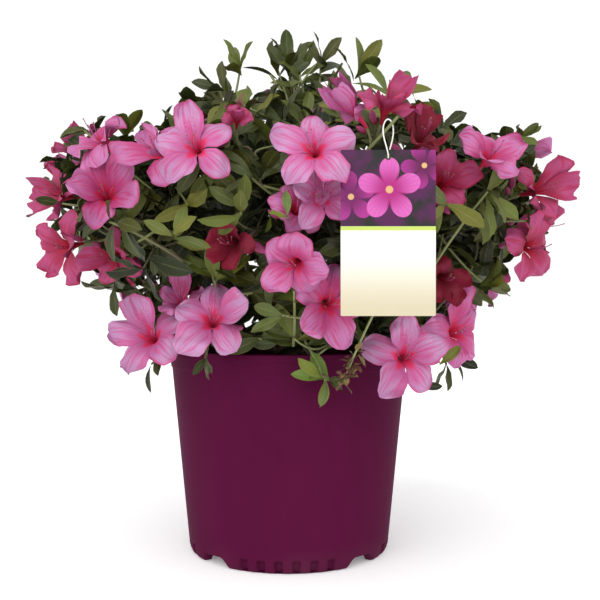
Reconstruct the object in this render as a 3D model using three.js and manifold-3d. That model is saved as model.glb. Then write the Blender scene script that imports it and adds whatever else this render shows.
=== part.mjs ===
// An azalea in full bloom in its nursery pot, in millimetres, +Z up.
// The origin is the centre of the pad under the pot. The shrub is seen from the front along +Y.
import * as THREE from "three";
import { mergeVertices } from "three/addons/utils/BufferGeometryUtils.js";
import Module from "manifold-3d";

const wasm = await Module();
wasm.setup();

// Driving dimensions of the pot.
const POT_HEIGHT = 222;
const RIM_RADIUS = 132;
const FOOT_RADIUS = 110;
const FOOT_ROUNDING = 6;
const WALL = 2.6;
const LIP_HEIGHT = 7;
const LIP_PROUD = 2.4;
const BAND_HEIGHT = 20;
const BAND_PROUD = 1;
const FLOOR_LIFT = 12;
const PAD_RADIUS = 40;
const FOOT_RING = 11;
const FLOOR_SLOPE = 4;
const EDGE_ROUNDING = 1.5;
const NOTCHES = 4;
const NOTCH_WIDTH = 42;
const NOTCH_TOP_WIDTH = 20;
const NOTCH_HEIGHT = 10;
const FLUTES_PER_FOOT = 6;
const FLUTE_STEP = 9.5;
const FLUTE_RADIUS = 3.2;
const FLUTE_HEIGHT = 15;
const FLUTE_DEPTH = 1.3;
const FLUTE_TOP_SHARE = 0.7;
const POT_SIDES = 40;
const SOIL_BELOW_RIM = 22;
const SOIL_CLEARANCE = 1;
const GAP = 0.3;

// Driving dimensions of the woody frame.
const SOIL_TOP = POT_HEIGHT - SOIL_BELOW_RIM;
const CROWN_AXIS = 12;
const TRUNK_TOP = 306;
const TRUNK_RADIUS = 9;
const TRUNK_TIP_RADIUS = 5.2;
const FLARE_RADIUS = 14;
const FLARE_HEIGHT = 14;
const TRUNK_CUT = 6;
const BOUGH_TIP_RADIUS = 2.4;
const BOUGH_TIP_SHARE = 0.62;
const BOUGH_SAG = 3;
const STEM_RADIUS = 2.2;
const STEM_GAP = 0.8;
const CORE_RADIUS = 25;
const TWIG_START_SHARE = 0.8;
const TWIG_RADIUS = 1.5;
const TWIG_TIP_RADIUS = 2.9;

// The crown's outline: how far its outermost leaves reach from its axis, at each height.
const OUTLINE = [
  [168, 158],
  [205, 196],
  [262, 206],
  [300, 250],
  [345, 283],
  [400, 290],
  [438, 274],
  [458, 232],
  [486, 158],
  [530, 122],
  [574, 92],
  [580, 0],
];
const CROWN_BOTTOM = OUTLINE[0][0];
const CROWN_TOP = OUTLINE[OUTLINE.length - 1][0];
const CROWN_DEPTH_SHARE = 0.92;
const OUTLINE_SLACK = 6;
const SLOPE_STEP = 10;
const STEEPEST_DOWN = -0.7;
const STEEPEST_UP = 4;
const LEAF_INSET = 36;
const BLOOM_INSET = 22;

// Foliage masses stand in tiers round the crown's axis: how many, the first one's bearing in
// degrees from the front towards the right, and the height and distance out of their middles.
const TIERS = [
  { name: "lower", count: 6, first: -40, height: 252, out: 146, boughFrom: 216, boughRadius: 4 },
  { name: "middle", count: 8, first: 0, height: 362, out: 190, boughFrom: 242, boughRadius: 4.4 },
  { name: "upper", count: 6, first: -50, height: 448, out: 112, boughFrom: 274, boughRadius: 3.8 },
];
const TOP_MASS_HEIGHT = 480;
const BOUGH_LEVEL_STEP = 13;

// Blooms on the front of the crown, as the distance to the right of the pot's axis and the
// height of each. The back of the crown carries the same ones, turned half a turn.
const BLOOMS = [
  [-64, 240], [-128, 224], [22, 266], [102, 218], [158, 236],
  [-214, 332], [-226, 384], [-168, 366], [-158, 412],
  [6, 342], [-44, 332], [150, 302], [240, 336], [244, 386], [184, 390],
  [-76, 400], [12, 306], [24, 396], [102, 454], [144, 438],
];
const BLOOM_RADIUS = 41;
const BLOOM_DEPTH = 27;
const THROAT_THICKNESS = 6;
const BLOOM_SINK = 4;
const NOTCH_SHARE = 0.45;
const PETALS = 5;

// Leaves, larger than life because there are fewer of them.
const SPRAYS = 150;
const LEAVES_PER_SPRAY = 4;
const LEAVES_PER_BLOOM = 3;
const LEAF_LENGTH = 60;
const LEAF_WIDTH = 25;
const LEAF_THICKNESS = 1.6;
const LEAF_WIDEST_AT = 0.54;
const LEAF_DROOP = 0.1;
const LEAF_FOLD = 0.12;
const LEAF_SIZES = [0.85, 1.12];
const SPRAY_TILTS = [36, 80];
const TILT_JITTER = 8;
const BLOOM_LEAF_TILT = 84;
const LEAF_SINK = 2;
const BLOOM_LEAF_DROP = 15;
const BLOOM_ROOM = 44;
const ATTEMPTS = 3;
const ATTEMPT_TURN = 0.7;
const ATTEMPT_TILT = 10;
const SLIDE_STEPS = 8;
const SLIDE_SHARE = 0.05;
const CELL_MARGIN = 0.4;
const TEST_SPACING = 9;
const SMALLEST_DETAIL = 0.2;
const SHORTEST_EDGE = 0.006;

// The plant label and the loop of string that it hangs by, from the twig that ends at the hook.
const TAG_WIDTH = 79;
const TAG_HEIGHT = 138;
const TAG_THICKNESS = 0.8;
const TAG_HOLE_RADIUS = 2.5;
const TAG_HOLE_DROP = 6;
const HOOK = new THREE.Vector3(93, -268, 426);
const HOOK_SEED = 77;
const LOOP_HEIGHT = 32;
const LOOP_WIDTH = 11;
const STRING_RADIUS = 0.6;
const LOOP_BEHIND_TIP = 14;
const KEEP_CLEAR = 2.5;

const GOLDEN_TURN = Math.PI * (3 - Math.sqrt(5));
const UP = new THREE.Vector3(0, 0, 1);
const SIDEWAYS = new THREE.Vector3(1, 0, 0);

// A seeded stream of numbers from 0 to 1.
function seeded(seed) {
  let state = seed * 7919 + 12345;
  return () => {
    state = (state * 48271) % 2147483647;
    return state / 2147483647;
  };
}

function blend(a, b, share) {
  return a + (b - a) * share;
}

function radians(degrees) {
  return (degrees * Math.PI) / 180;
}

// Solids and geometries.

function solidOf(geometry) {
  const bare = geometry.clone();
  bare.deleteAttribute("normal");
  bare.deleteAttribute("uv");
  const merged = mergeVertices(bare, 1e-4);
  return new wasm.Manifold(
    new wasm.Mesh({
      numProp: 3,
      vertProperties: merged.attributes.position.array,
      triVerts: new Uint32Array(merged.index.array),
    }),
  );
}

function geometryOf(solid) {
  const mesh = solid.getMesh();
  const points = new Float32Array(mesh.numVert * 3);
  for (let i = 0; i < mesh.numVert; i++) {
    points.set(mesh.vertProperties.subarray(i * mesh.numProp, i * mesh.numProp + 3), i * 3);
  }
  const geometry = new THREE.BufferGeometry();
  geometry.setAttribute("position", new THREE.BufferAttribute(points, 3));
  geometry.setIndex(new THREE.BufferAttribute(mesh.triVerts, 1));
  geometry.computeVertexNormals();
  return geometry;
}

function largestBody(solid) {
  return solid.decompose().sort((a, b) => b.volume() - a.volume())[0];
}

// Joins solids in pairs, drops detail too small to matter, and keeps the largest body.
function fused(solids) {
  let row = solids;
  while (row.length > 1) {
    const next = [];
    for (let i = 0; i < row.length; i += 2) {
      next.push(i + 1 < row.length ? row[i].add(row[i + 1]) : row[i]);
    }
    row = next;
  }
  return largestBody(largestBody(row[0]).simplify(SMALLEST_DETAIL));
}

// The middle of the first edge that is too short to keep, if the solid has one.
function sliverOf(solid) {
  const mesh = solid.getMesh();
  const corner = (i) => new THREE.Vector3().fromArray(mesh.vertProperties, i * mesh.numProp);
  for (let i = 0; i < mesh.triVerts.length; i++) {
    const next = i % 3 === 2 ? i - 2 : i + 1;
    const [a, b] = [corner(mesh.triVerts[i]), corner(mesh.triVerts[next])];
    if (a.distanceTo(b) < SHORTEST_EDGE) return a.lerp(b, 0.5);
  }
  return null;
}

// Joins the pieces, leaving out one that meets its neighbours in a sliver, last piece first.
function cleanlyFused(kept, pieces) {
  const body = fused([...kept, ...pieces]);
  const sliver = sliverOf(body);
  if (!sliver) return body;
  const cause = pieces.findLastIndex((piece) => {
    const box = piece.boundingBox();
    return new THREE.Box3(new THREE.Vector3(...box.min), new THREE.Vector3(...box.max))
      .expandByScalar(SMALLEST_DETAIL)
      .containsPoint(sliver);
  });
  return cause < 0 ? body : cleanlyFused(kept, pieces.toSpliced(cause, 1));
}

// Turns a geometry made along +Y so that +Y lies along a direction and +Z near a facing.
function placed(geometry, at, along, facing) {
  const y = along.clone().normalize();
  const x = y.clone().cross(Math.abs(y.dot(facing)) < 0.99 ? facing : SIDEWAYS).normalize();
  const z = x.clone().cross(y);
  const matrix = new THREE.Matrix4().makeBasis(x, y, z).setPosition(at);
  return geometry.applyMatrix4(matrix);
}

// A round limb along a curve, with a radius for each share of its length.
function limbGeometry(curve, radiusAt, sides, steps) {
  const geometry = new THREE.CylinderGeometry(1, 1, 1, sides, steps);
  const frames = curve.computeFrenetFrames(steps, false);
  const position = geometry.attributes.position;
  for (let i = 0; i < position.count; i++) {
    const share = position.getY(i) + 0.5;
    const step = Math.round(share * steps);
    const radius = radiusAt(share);
    const point = curve
      .getPointAt(share)
      .addScaledVector(frames.binormals[step], -position.getX(i) * radius)
      .addScaledVector(frames.normals[step], -position.getZ(i) * radius);
    position.setXYZ(i, point.x, point.y, point.z);
  }
  return geometry;
}

// A straight three-sided twig from one point to another.
function twigGeometry(from, to, fromRadius, toRadius) {
  const length = from.distanceTo(to);
  const geometry = new THREE.CylinderGeometry(toRadius, fromRadius, length, 3);
  geometry.translate(0, length / 2, 0);
  return placed(geometry, from, to.clone().sub(from), UP);
}

// The pot: a tapered wall with a rolled lip and a raised band, a lifted floor with a pad in its
// middle, and a foot ring that four notches and rows of small flutes cut into.

function potRadiusAt(height) {
  return blend(FOOT_RADIUS, RIM_RADIUS, height / POT_HEIGHT);
}

function potSolid() {
  const lipBottom = POT_HEIGHT - LIP_HEIGHT;
  const bandBottom = POT_HEIGHT - BAND_HEIGHT;
  const outer = [
    [FOOT_RADIUS - FOOT_ROUNDING, 0],
    [FOOT_RADIUS - FOOT_ROUNDING * 0.3, FOOT_ROUNDING * 0.3],
    [potRadiusAt(FOOT_ROUNDING), FOOT_ROUNDING],
    [potRadiusAt(bandBottom), bandBottom],
    [potRadiusAt(bandBottom) + BAND_PROUD, bandBottom + BAND_PROUD],
    [potRadiusAt(lipBottom) + BAND_PROUD, lipBottom],
    [potRadiusAt(lipBottom) + LIP_PROUD, lipBottom + BAND_PROUD],
    [RIM_RADIUS + LIP_PROUD, POT_HEIGHT - EDGE_ROUNDING],
    [RIM_RADIUS + LIP_PROUD - EDGE_ROUNDING, POT_HEIGHT],
  ];
  const inner = [
    [RIM_RADIUS - WALL + BAND_PROUD, POT_HEIGHT],
    [potRadiusAt(bandBottom) - WALL, bandBottom],
    [potRadiusAt(FLOOR_LIFT) - WALL, FLOOR_LIFT + WALL],
    [0, FLOOR_LIFT + WALL],
  ];
  const under = [
    [0, 0],
    [PAD_RADIUS, 0],
    [PAD_RADIUS + FLOOR_SLOPE, FLOOR_LIFT],
    [FOOT_RADIUS - FOOT_RING - FLOOR_SLOPE, FLOOR_LIFT],
    [FOOT_RADIUS - FOOT_RING, 0],
    [FOOT_RADIUS - FOOT_ROUNDING, 0],
  ];
  const profile = [...outer, ...inner, ...under].map(([r, z]) => new THREE.Vector2(r, z));
  let pot = solidOf(new THREE.LatheGeometry(profile, POT_SIDES).rotateX(Math.PI / 2));
  for (let i = 0; i < NOTCHES; i++) {
    const turn = radians(45) + (i * 2 * Math.PI) / NOTCHES;
    pot = pot.subtract(notchSolid(turn));
    for (let j = 0; j < FLUTES_PER_FOOT; j++) {
      const offset = radians(45 + FLUTE_STEP * (j - (FLUTES_PER_FOOT - 1) / 2));
      pot = pot.subtract(fluteSolid(turn + offset));
    }
  }
  return pot;
}

// An arched tunnel through the foot ring, at a turn about the pot's axis.
function notchSolid(turn) {
  const [half, topHalf] = [NOTCH_WIDTH / 2, NOTCH_TOP_WIDTH / 2];
  const shape = new THREE.Shape()
    .moveTo(-half, -EDGE_ROUNDING)
    .lineTo(half, -EDGE_ROUNDING)
    .quadraticCurveTo(topHalf * 1.4, NOTCH_HEIGHT, topHalf, NOTCH_HEIGHT)
    .lineTo(-topHalf, NOTCH_HEIGHT)
    .quadraticCurveTo(-topHalf * 1.4, NOTCH_HEIGHT, -half, -EDGE_ROUNDING);
  const depth = 3 * FOOT_RING;
  const arch = new THREE.ExtrudeGeometry(shape, { depth, bevelEnabled: false, curveSegments: 3 });
  arch.rotateX(Math.PI / 2).translate(0, FOOT_RADIUS + FOOT_RING, 0).rotateZ(turn);
  return solidOf(arch);
}

// A short upright flute in the outside of the foot, at a turn about the pot's axis.
function fluteSolid(turn) {
  const topRadius = FLUTE_RADIUS * FLUTE_TOP_SHARE;
  const flute = new THREE.CylinderGeometry(topRadius, FLUTE_RADIUS, FLUTE_HEIGHT, 5);
  flute.rotateX(Math.PI / 2);
  flute.translate(0, FOOT_RADIUS + FLUTE_RADIUS - FLUTE_DEPTH, FLUTE_HEIGHT / 2 - EDGE_ROUNDING);
  return solidOf(flute.rotateZ(turn));
}

function soilGeometry() {
  const bottom = FLOOR_LIFT + WALL + GAP;
  const profile = [
    [0, bottom],
    [potRadiusAt(bottom) - WALL - SOIL_CLEARANCE, bottom],
    [potRadiusAt(SOIL_TOP) - WALL - SOIL_CLEARANCE, SOIL_TOP],
    [0, SOIL_TOP],
  ].map(([r, z]) => new THREE.Vector2(r, z));
  return new THREE.LatheGeometry(profile, POT_SIDES).rotateX(Math.PI / 2);
}

// The crown's outline, and points and directions on it.

function reachAt(height) {
  const next = OUTLINE.findIndex(([z]) => z >= height);
  if (next <= 0) return OUTLINE[next < 0 ? OUTLINE.length - 1 : 0][1];
  const [lowZ, lowReach] = OUTLINE[next - 1];
  const [highZ, highReach] = OUTLINE[next];
  return blend(lowReach, highReach, (height - lowZ) / (highZ - lowZ));
}

function crownPoint(turn, height, reach) {
  return new THREE.Vector3(
    CROWN_AXIS + Math.sin(turn) * reach,
    -Math.cos(turn) * reach * CROWN_DEPTH_SHARE,
    height,
  );
}

// The way out of the crown at a turn and a height.
function crownOutward(turn, height) {
  const rise = reachAt(height - SLOPE_STEP) - reachAt(height + SLOPE_STEP);
  const lift = THREE.MathUtils.clamp(rise / (2 * SLOPE_STEP), STEEPEST_DOWN, STEEPEST_UP);
  return new THREE.Vector3(Math.sin(turn), -Math.cos(turn), lift).normalize();
}

function inCrown(point) {
  const reach = Math.hypot(point.x - CROWN_AXIS, point.y / CROWN_DEPTH_SHARE);
  return point.z < CROWN_TOP && reach < reachAt(point.z) + OUTLINE_SLACK;
}

// Where sprays of leaves stand: an even spiral over the whole outline.
function sprayPlaces() {
  const rings = [];
  let area = 0;
  for (let height = CROWN_BOTTOM + LEAF_INSET / 2; height < CROWN_TOP; height++) {
    area += reachAt(height) * Math.hypot(1, reachAt(height + 1) - reachAt(height));
    rings.push({ height, area });
  }
  return Array.from({ length: SPRAYS }, (_, i) => {
    const wanted = ((i + 0.5) / SPRAYS) * area;
    const height = rings.find((ring) => ring.area >= wanted).height;
    const turn = i * GOLDEN_TURN;
    const out = crownOutward(turn, height);
    return { at: crownPoint(turn, height, reachAt(height)).addScaledVector(out, -LEAF_INSET), out };
  });
}

// Where blooms stand, on the front and turned half round to the back.
function bloomPlaces() {
  return BLOOMS.flatMap(([across, height]) => {
    const reach = reachAt(height) - BLOOM_INSET;
    const front = Math.asin(THREE.MathUtils.clamp((across - CROWN_AXIS) / reach, -1, 1));
    return [front, front + Math.PI].map((turn) => ({
      at: crownPoint(turn, height, reach),
      out: crownOutward(turn, height),
    }));
  });
}

// The woody frame.

function trunkCurve() {
  return new THREE.CatmullRomCurve3([
    new THREE.Vector3(2, 0, SOIL_TOP - TRUNK_CUT),
    new THREE.Vector3(5, 2, blend(SOIL_TOP, TRUNK_TOP, 0.35)),
    new THREE.Vector3(9, -1, blend(SOIL_TOP, TRUNK_TOP, 0.7)),
    new THREE.Vector3(CROWN_AXIS, 0, TRUNK_TOP),
  ]);
}

function trunkRadiusAt(share) {
  const height = share * (TRUNK_TOP - SOIL_TOP + TRUNK_CUT) - TRUNK_CUT;
  const flare = Math.max(0, 1 - height / FLARE_HEIGHT) ** 2 * (FLARE_RADIUS - TRUNK_RADIUS);
  return blend(TRUNK_RADIUS, TRUNK_TIP_RADIUS, share) + flare;
}

function trunkShareAt(height) {
  return (height - SOIL_TOP + TRUNK_CUT) / (TRUNK_TOP - SOIL_TOP + TRUNK_CUT);
}

// The trunk, cut off level just above the potting mix.
function trunkSolid() {
  const size = 4 * FLARE_RADIUS;
  const below = new THREE.BoxGeometry(size, size, size);
  below.translate(0, 0, SOIL_TOP + GAP - size / 2);
  return solidOf(limbGeometry(trunkCurve(), trunkRadiusAt, 10, 10)).subtract(solidOf(below));
}

// Every mass with its middle and the bough that carries it.
function massPlans() {
  const trunk = trunkCurve();
  const plans = TIERS.flatMap((tier) =>
    Array.from({ length: tier.count }, (_, i) => {
      const turn = radians(tier.first + (i * 360) / tier.count);
      const level = tier.boughFrom + (i % 2) * BOUGH_LEVEL_STEP;
      const share = trunkShareAt(level);
      const sideways = new THREE.Vector3(Math.sin(turn), -Math.cos(turn), 0);
      const middle = crownPoint(turn, tier.height, tier.out);
      const fork = trunk.getPointAt(share);
      const steepness = middle.clone().sub(fork).normalize().z;
      const room = trunkRadiusAt(share) + 2 * GAP + tier.boughRadius * steepness;
      const start = fork.clone().addScaledVector(sideways, room);
      const tip = start.clone().lerp(middle, BOUGH_TIP_SHARE);
      const bend = start.clone().lerp(tip, 0.5).addScaledVector(UP, -BOUGH_SAG);
      return {
        name: `${tier.name}_${i + 1}`,
        middle,
        tip,
        bough: new THREE.CatmullRomCurve3([start, bend, tip]),
        boughRadius: tier.boughRadius,
      };
    }),
  );
  const top = { name: "top", middle: new THREE.Vector3(CROWN_AXIS, 0, TOP_MASS_HEIGHT) };
  top.tip = trunk.getPointAt(1);
  return [...plans, top];
}

function boughRadiusAt(plan) {
  return (share) => blend(plan.boughRadius, BOUGH_TIP_RADIUS, share);
}

// Points along every limb with the limb's radius, to keep leaves and twigs clear of them.
function limbPoints(plans) {
  const trunk = trunkCurve();
  const points = trunk
    .getSpacedPoints(24)
    .map((at, i) => ({ at, radius: trunkRadiusAt(i / 24) }));
  plans
    .filter((plan) => plan.bough)
    .forEach((plan) =>
      plan.bough.getSpacedPoints(16).forEach((at, i) => {
        points.push({ at, radius: boughRadiusAt(plan)(i / 16) });
      }),
    );
  return points;
}

// Rules on where a piece of a mass may be.

function nearestPlan(point, plans) {
  return plans.reduce((best, plan) =>
    point.distanceToSquared(plan.middle) < point.distanceToSquared(best.middle) ? plan : best,
  );
}

// True if a point is in a mass's own space, inside the planes halfway to its neighbours.
function inOwnSpace(point, plan, plans) {
  return plans.every((other) => {
    if (other === plan) return true;
    const across = other.middle.clone().sub(plan.middle);
    const half = across.length() / 2;
    const along = point.clone().sub(plan.middle).dot(across.normalize());
    return along < half - CELL_MARGIN;
  });
}

function inPot(point) {
  const out = Math.hypot(point.x, point.y);
  return out < RIM_RADIUS + LIP_PROUD + KEEP_CLEAR && point.z < POT_HEIGHT + KEEP_CLEAR;
}

// True near the label or its string.
function nearTag(point, tag) {
  return (
    Math.abs(point.x - tag.x) < tag.halfWidth + KEEP_CLEAR &&
    Math.abs(point.y - tag.y) < tag.halfDepth + KEEP_CLEAR &&
    point.z > tag.bottom - KEEP_CLEAR &&
    point.z < tag.top + KEEP_CLEAR
  );
}

function verticesOf(geometry) {
  const position = geometry.attributes.position;
  return Array.from({ length: position.count }, (_, i) =>
    new THREE.Vector3().fromBufferAttribute(position, i),
  );
}

// Points along the edges of a geometry's triangles.
function edgePoints(geometry) {
  const corners = verticesOf(geometry);
  const index = geometry.index ? geometry.index.array : corners.map((_, i) => i);
  const points = [];
  for (let i = 0; i < index.length; i += 3) {
    for (let j = 0; j < 3; j++) {
      const a = corners[index[i + j]];
      const b = corners[index[i + ((j + 1) % 3)]];
      const steps = Math.ceil(a.distanceTo(b) / TEST_SPACING);
      for (let k = 0; k < steps; k++) points.push(a.clone().lerp(b, k / steps));
    }
  }
  return points;
}

function fits(geometry, plan, world) {
  const inside = (point) => inCrown(point) && inOwnSpace(point, plan, world.plans);
  if (!verticesOf(geometry).every(inside)) return false;
  return edgePoints(geometry).every(
    (point) =>
      !inPot(point) &&
      !world.clear.some((box) => nearTag(point, box)) &&
      !world.limbs.some((limb) => limb.at.distanceTo(point) < limb.radius + KEEP_CLEAR),
  );
}

// Leaves and blooms.

// A leaf as a thin eight-faced blade along +Y, widest past its middle, its tip drooping.
function leafGeometry(length, width) {
  const leaf = new THREE.OctahedronGeometry(1);
  const position = leaf.attributes.position;
  for (let i = 0; i < position.count; i++) {
    const [x, y, z] = [position.getX(i), position.getY(i), position.getZ(i)];
    const along = y > 0.5 ? length : y < -0.5 ? 0 : length * LEAF_WIDEST_AT;
    const droop = y > 0.5 ? length * LEAF_DROOP : 0;
    const fold = Math.abs(x) * width * LEAF_FOLD;
    position.setXYZ(i, (x * width) / 2, along, fold - droop + (z * LEAF_THICKNESS) / 2);
  }
  return leaf;
}

// A bloom that faces +Y: a funnel whose rim is cut into five lobes.
function bloomGeometry() {
  const corners = PETALS * 3;
  const bloom = new THREE.ConeGeometry(1, 1, corners);
  const position = bloom.attributes.position;
  for (let i = 0; i < position.count; i++) {
    const [x, y, z] = [position.getX(i), position.getY(i), position.getZ(i)];
    if (Math.hypot(x, z) < 0.5) {
      position.setXYZ(i, 0, y > 0 ? 0 : THROAT_THICKNESS, 0);
      continue;
    }
    const corner = Math.round((Math.atan2(x, z) / (2 * Math.PI)) * corners) + corners;
    const share = corner % 3 === 0 ? NOTCH_SHARE : 1;
    position.setXYZ(i, -x * BLOOM_RADIUS * share, BLOOM_DEPTH * share, z * BLOOM_RADIUS * share);
  }
  return bloom;
}

// Gives a bloom to the mass that it fits with the least move towards that mass's middle.
function claimBloom(spot, world) {
  const near = world.plans
    .slice()
    .sort((a, b) => a.middle.distanceTo(spot.at) - b.middle.distanceTo(spot.at))
    .slice(0, 3);
  for (let step = 0; step < SLIDE_STEPS; step++) {
    for (const plan of near) {
      const at = spot.at.clone().lerp(plan.middle, step * SLIDE_SHARE);
      const base = at.clone().addScaledVector(spot.out, -BLOOM_SINK);
      const bloom = placed(bloomGeometry(), base, spot.out, UP);
      if (fits(bloom, plan, world)) return { ...spot, at, plan, bloom: solidOf(bloom) };
    }
  }
  return null;
}

// Grows one mass: a stem from its bough's tip to a small dense core in its middle, a twig from
// there to each spray or bloom, and leaves round the end of every twig. What leaves the mass's
// space, touches a limb or cuts a bloom is skipped.
function growMass(plan, spots, world) {
  const root = massRoot(plan);
  const core = new THREE.IcosahedronGeometry(CORE_RADIUS);
  core.translate(plan.middle.x, plan.middle.y, plan.middle.z);
  const stem = twigGeometry(root, plan.middle, STEM_RADIUS, STEM_RADIUS);
  const pieces = [];
  const blooms = spots.filter((spot) => spot.bloom).map((spot) => spot.bloom);
  spots.forEach((spot) => {
    const random = seeded(spot.seed);
    const from = twigStart(plan, root, random());
    const twig = twigGeometry(from, spot.at, TWIG_RADIUS, TWIG_TIP_RADIUS);
    if (!spot.held && !fits(twig, plan, world)) return;
    pieces.push(solidOf(twig));
    if (spot.bloom) pieces.push(spot.bloom);
    const others = blooms.filter((bloom) => bloom !== spot.bloom);
    pieces.push(...rosette(spot, from, random, plan, world, others));
  });
  return cleanlyFused([solidOf(stem), solidOf(core)], pieces);
}

function massRoot(plan) {
  const way = plan.middle.clone().sub(plan.tip).normalize();
  return plan.tip.clone().addScaledVector(way, STEM_GAP);
}

function twigStart(plan, root, share) {
  const inward = root.clone().sub(plan.middle).normalize();
  return plan.middle.clone().addScaledVector(inward, CORE_RADIUS * TWIG_START_SHARE * share);
}

// The leaves round one twig's end, each turned on a little where it would not fit.
function rosette(spot, from, random, plan, world, others) {
  const twigWay = spot.at.clone().sub(from).normalize();
  const way = twigWay.clone().add(spot.out).normalize();
  const root = spot.at.clone().addScaledVector(twigWay, spot.bloom ? -BLOOM_LEAF_DROP : -LEAF_SINK);
  const side = way.clone().cross(Math.abs(way.z) < 0.9 ? UP : SIDEWAYS).normalize();
  const other = way.clone().cross(side);
  const phase = random() * 2 * Math.PI;
  const count = spot.bloom ? LEAVES_PER_BLOOM : LEAVES_PER_SPRAY;
  const leaves = [];
  for (let i = 0; i < count; i++) {
    const size = blend(...LEAF_SIZES, random());
    const sprayTilt = blend(...SPRAY_TILTS, i / count) + TILT_JITTER * random();
    for (let attempt = 0; attempt < ATTEMPTS; attempt++) {
      const turn = phase + i * GOLDEN_TURN + attempt * ATTEMPT_TURN;
      const tilt = radians((spot.bloom ? BLOOM_LEAF_TILT : sprayTilt) + attempt * ATTEMPT_TILT);
      const radial = side.clone().multiplyScalar(Math.cos(turn));
      radial.addScaledVector(other, Math.sin(turn));
      const along = way.clone().multiplyScalar(Math.cos(tilt)).addScaledVector(radial, Math.sin(tilt));
      const facing = way.clone().multiplyScalar(Math.sin(tilt));
      facing.addScaledVector(radial, -Math.cos(tilt));
      const leaf = placed(leafGeometry(LEAF_LENGTH * size, LEAF_WIDTH * size), root, along, facing);
      if (!fits(leaf, plan, world)) continue;
      const solid = solidOf(leaf);
      if (others.some((bloom) => !bloom.intersect(solid).isEmpty())) continue;
      leaves.push(solid);
      break;
    }
  }
  return leaves;
}

// The label: a card with a hole, and a string loop that runs through the hole and over a twig.

function tagPlan(plans) {
  const plan = nearestPlan(HOOK, plans);
  const out = new THREE.Vector3(0, -1, 0.25).normalize();
  const spot = { at: HOOK, out, plan, held: true, seed: HOOK_SEED };
  const from = twigStart(plan, massRoot(plan), seeded(spot.seed)());
  const twigWay = HOOK.clone().sub(from).normalize();
  const over = HOOK.clone().addScaledVector(twigWay, -LOOP_BEHIND_TIP);
  const loopTop = over.z + 2 * TWIG_TIP_RADIUS + STRING_RADIUS;
  const loopMiddle = new THREE.Vector3(over.x, over.y, loopTop - LOOP_HEIGHT / 2);
  const cardTop = loopTop - LOOP_HEIGHT + TAG_HOLE_DROP + STRING_RADIUS;
  return { spot, loopMiddle, cardMiddle: loopMiddle.clone().setZ(cardTop - TAG_HEIGHT / 2) };
}

function tagBoxes({ loopMiddle, cardMiddle }) {
  const halves = (middle, width, depth, height) => ({
    x: middle.x,
    y: middle.y,
    halfWidth: width / 2,
    halfDepth: depth / 2,
    bottom: middle.z - height / 2,
    top: middle.z + height / 2,
  });
  return [
    halves(cardMiddle, TAG_WIDTH, 4, TAG_HEIGHT),
    halves(loopMiddle, LOOP_WIDTH + 2, LOOP_WIDTH + 2, LOOP_HEIGHT),
  ];
}

function cardSolid() {
  const card = solidOf(new THREE.BoxGeometry(TAG_WIDTH, TAG_THICKNESS, TAG_HEIGHT));
  const hole = new THREE.CylinderGeometry(TAG_HOLE_RADIUS, TAG_HOLE_RADIUS, 4, 16);
  hole.translate(0, 0, TAG_HEIGHT / 2 - TAG_HOLE_DROP);
  return card.subtract(solidOf(hole));
}

// The loop lies across the view at its top, and turns a quarter to pass through the card.
function loopGeometry() {
  const loop = new THREE.TorusGeometry(10, 1, 5, 24);
  const position = loop.attributes.position;
  for (let i = 0; i < position.count; i++) {
    const [x, y, z] = [position.getX(i), position.getY(i), position.getZ(i)];
    const turn = Math.atan2(y, x);
    const out = (Math.hypot(x, y) - 10) * STRING_RADIUS;
    const quarter = ((1 - Math.sin(turn)) / 2) * (Math.PI / 2);
    const across = Math.cos(turn) * (LOOP_WIDTH / 2 + out);
    const through = -z * STRING_RADIUS;
    position.setXYZ(
      i,
      across * Math.cos(quarter) - through * Math.sin(quarter),
      across * Math.sin(quarter) + through * Math.cos(quarter),
      Math.sin(turn) * (LOOP_HEIGHT / 2 + out),
    );
  }
  return loop;
}

// Materials.

const material = (color, roughness) => new THREE.MeshStandardMaterial({ color, roughness });
const potPlastic = material(0x561a3c, 0.4);
const pottingMix = material(0x2b2019, 0.95);
const bark = material(0x6b5540, 0.85);
const foliage = material(0x4f6b3a, 0.55);
const labelCard = material(0xf1ecd8, 0.5);
const string = material(0xf4f4ee, 0.7);

function named(name, geometry, look, at) {
  const mesh = new THREE.Mesh(geometry, look);
  mesh.name = name;
  if (at) mesh.position.copy(at);
  return mesh;
}

// Assembly.

const shrub = new THREE.Group();
const plans = massPlans();
const tag = tagPlan(plans);
const world = { plans, limbs: limbPoints(plans), clear: tagBoxes(tag) };

shrub.add(named("pot", geometryOf(potSolid()), potPlastic));
shrub.add(named("potting_mix", soilGeometry(), pottingMix));
shrub.add(named("stem", geometryOf(trunkSolid()), bark));
plans
  .filter((plan) => plan.bough)
  .forEach((plan) => {
    const geometry = limbGeometry(plan.bough, boughRadiusAt(plan), 5, 4);
    shrub.add(named(`bough_${plan.name}`, geometry, bark));
  });

const blooms = bloomPlaces()
  .map((spot, i) => claimBloom({ ...spot, seed: i + 1 }, world))
  .filter((spot) => spot);
const sprays = sprayPlaces()
  .map((spot, i) => ({ ...spot, plan: nearestPlan(spot.at, plans), seed: i + 101 }))
  .filter((spot) => !blooms.some((bloom) => bloom.at.distanceTo(spot.at) < BLOOM_ROOM));
const spots = [...blooms, ...sprays, tag.spot];
plans.forEach((plan) => {
  const own = spots.filter((spot) => spot.plan === plan);
  shrub.add(named(`foliage_${plan.name}`, geometryOf(growMass(plan, own, world)), foliage));
});

shrub.add(named("label_card", geometryOf(cardSolid()), labelCard, tag.cardMiddle));
shrub.add(named("label_string", loopGeometry(), string, tag.loopMiddle));

export default shrub;
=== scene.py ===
"""An azalea in full bloom in its nursery pot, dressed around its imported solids.

Metres, +Z up, seen from the front along +Y. The shrub grows again by the rule of the part's
source, carried on to finer twigs, real leaves and whole blooms.
"""

import math
from collections import namedtuple

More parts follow.
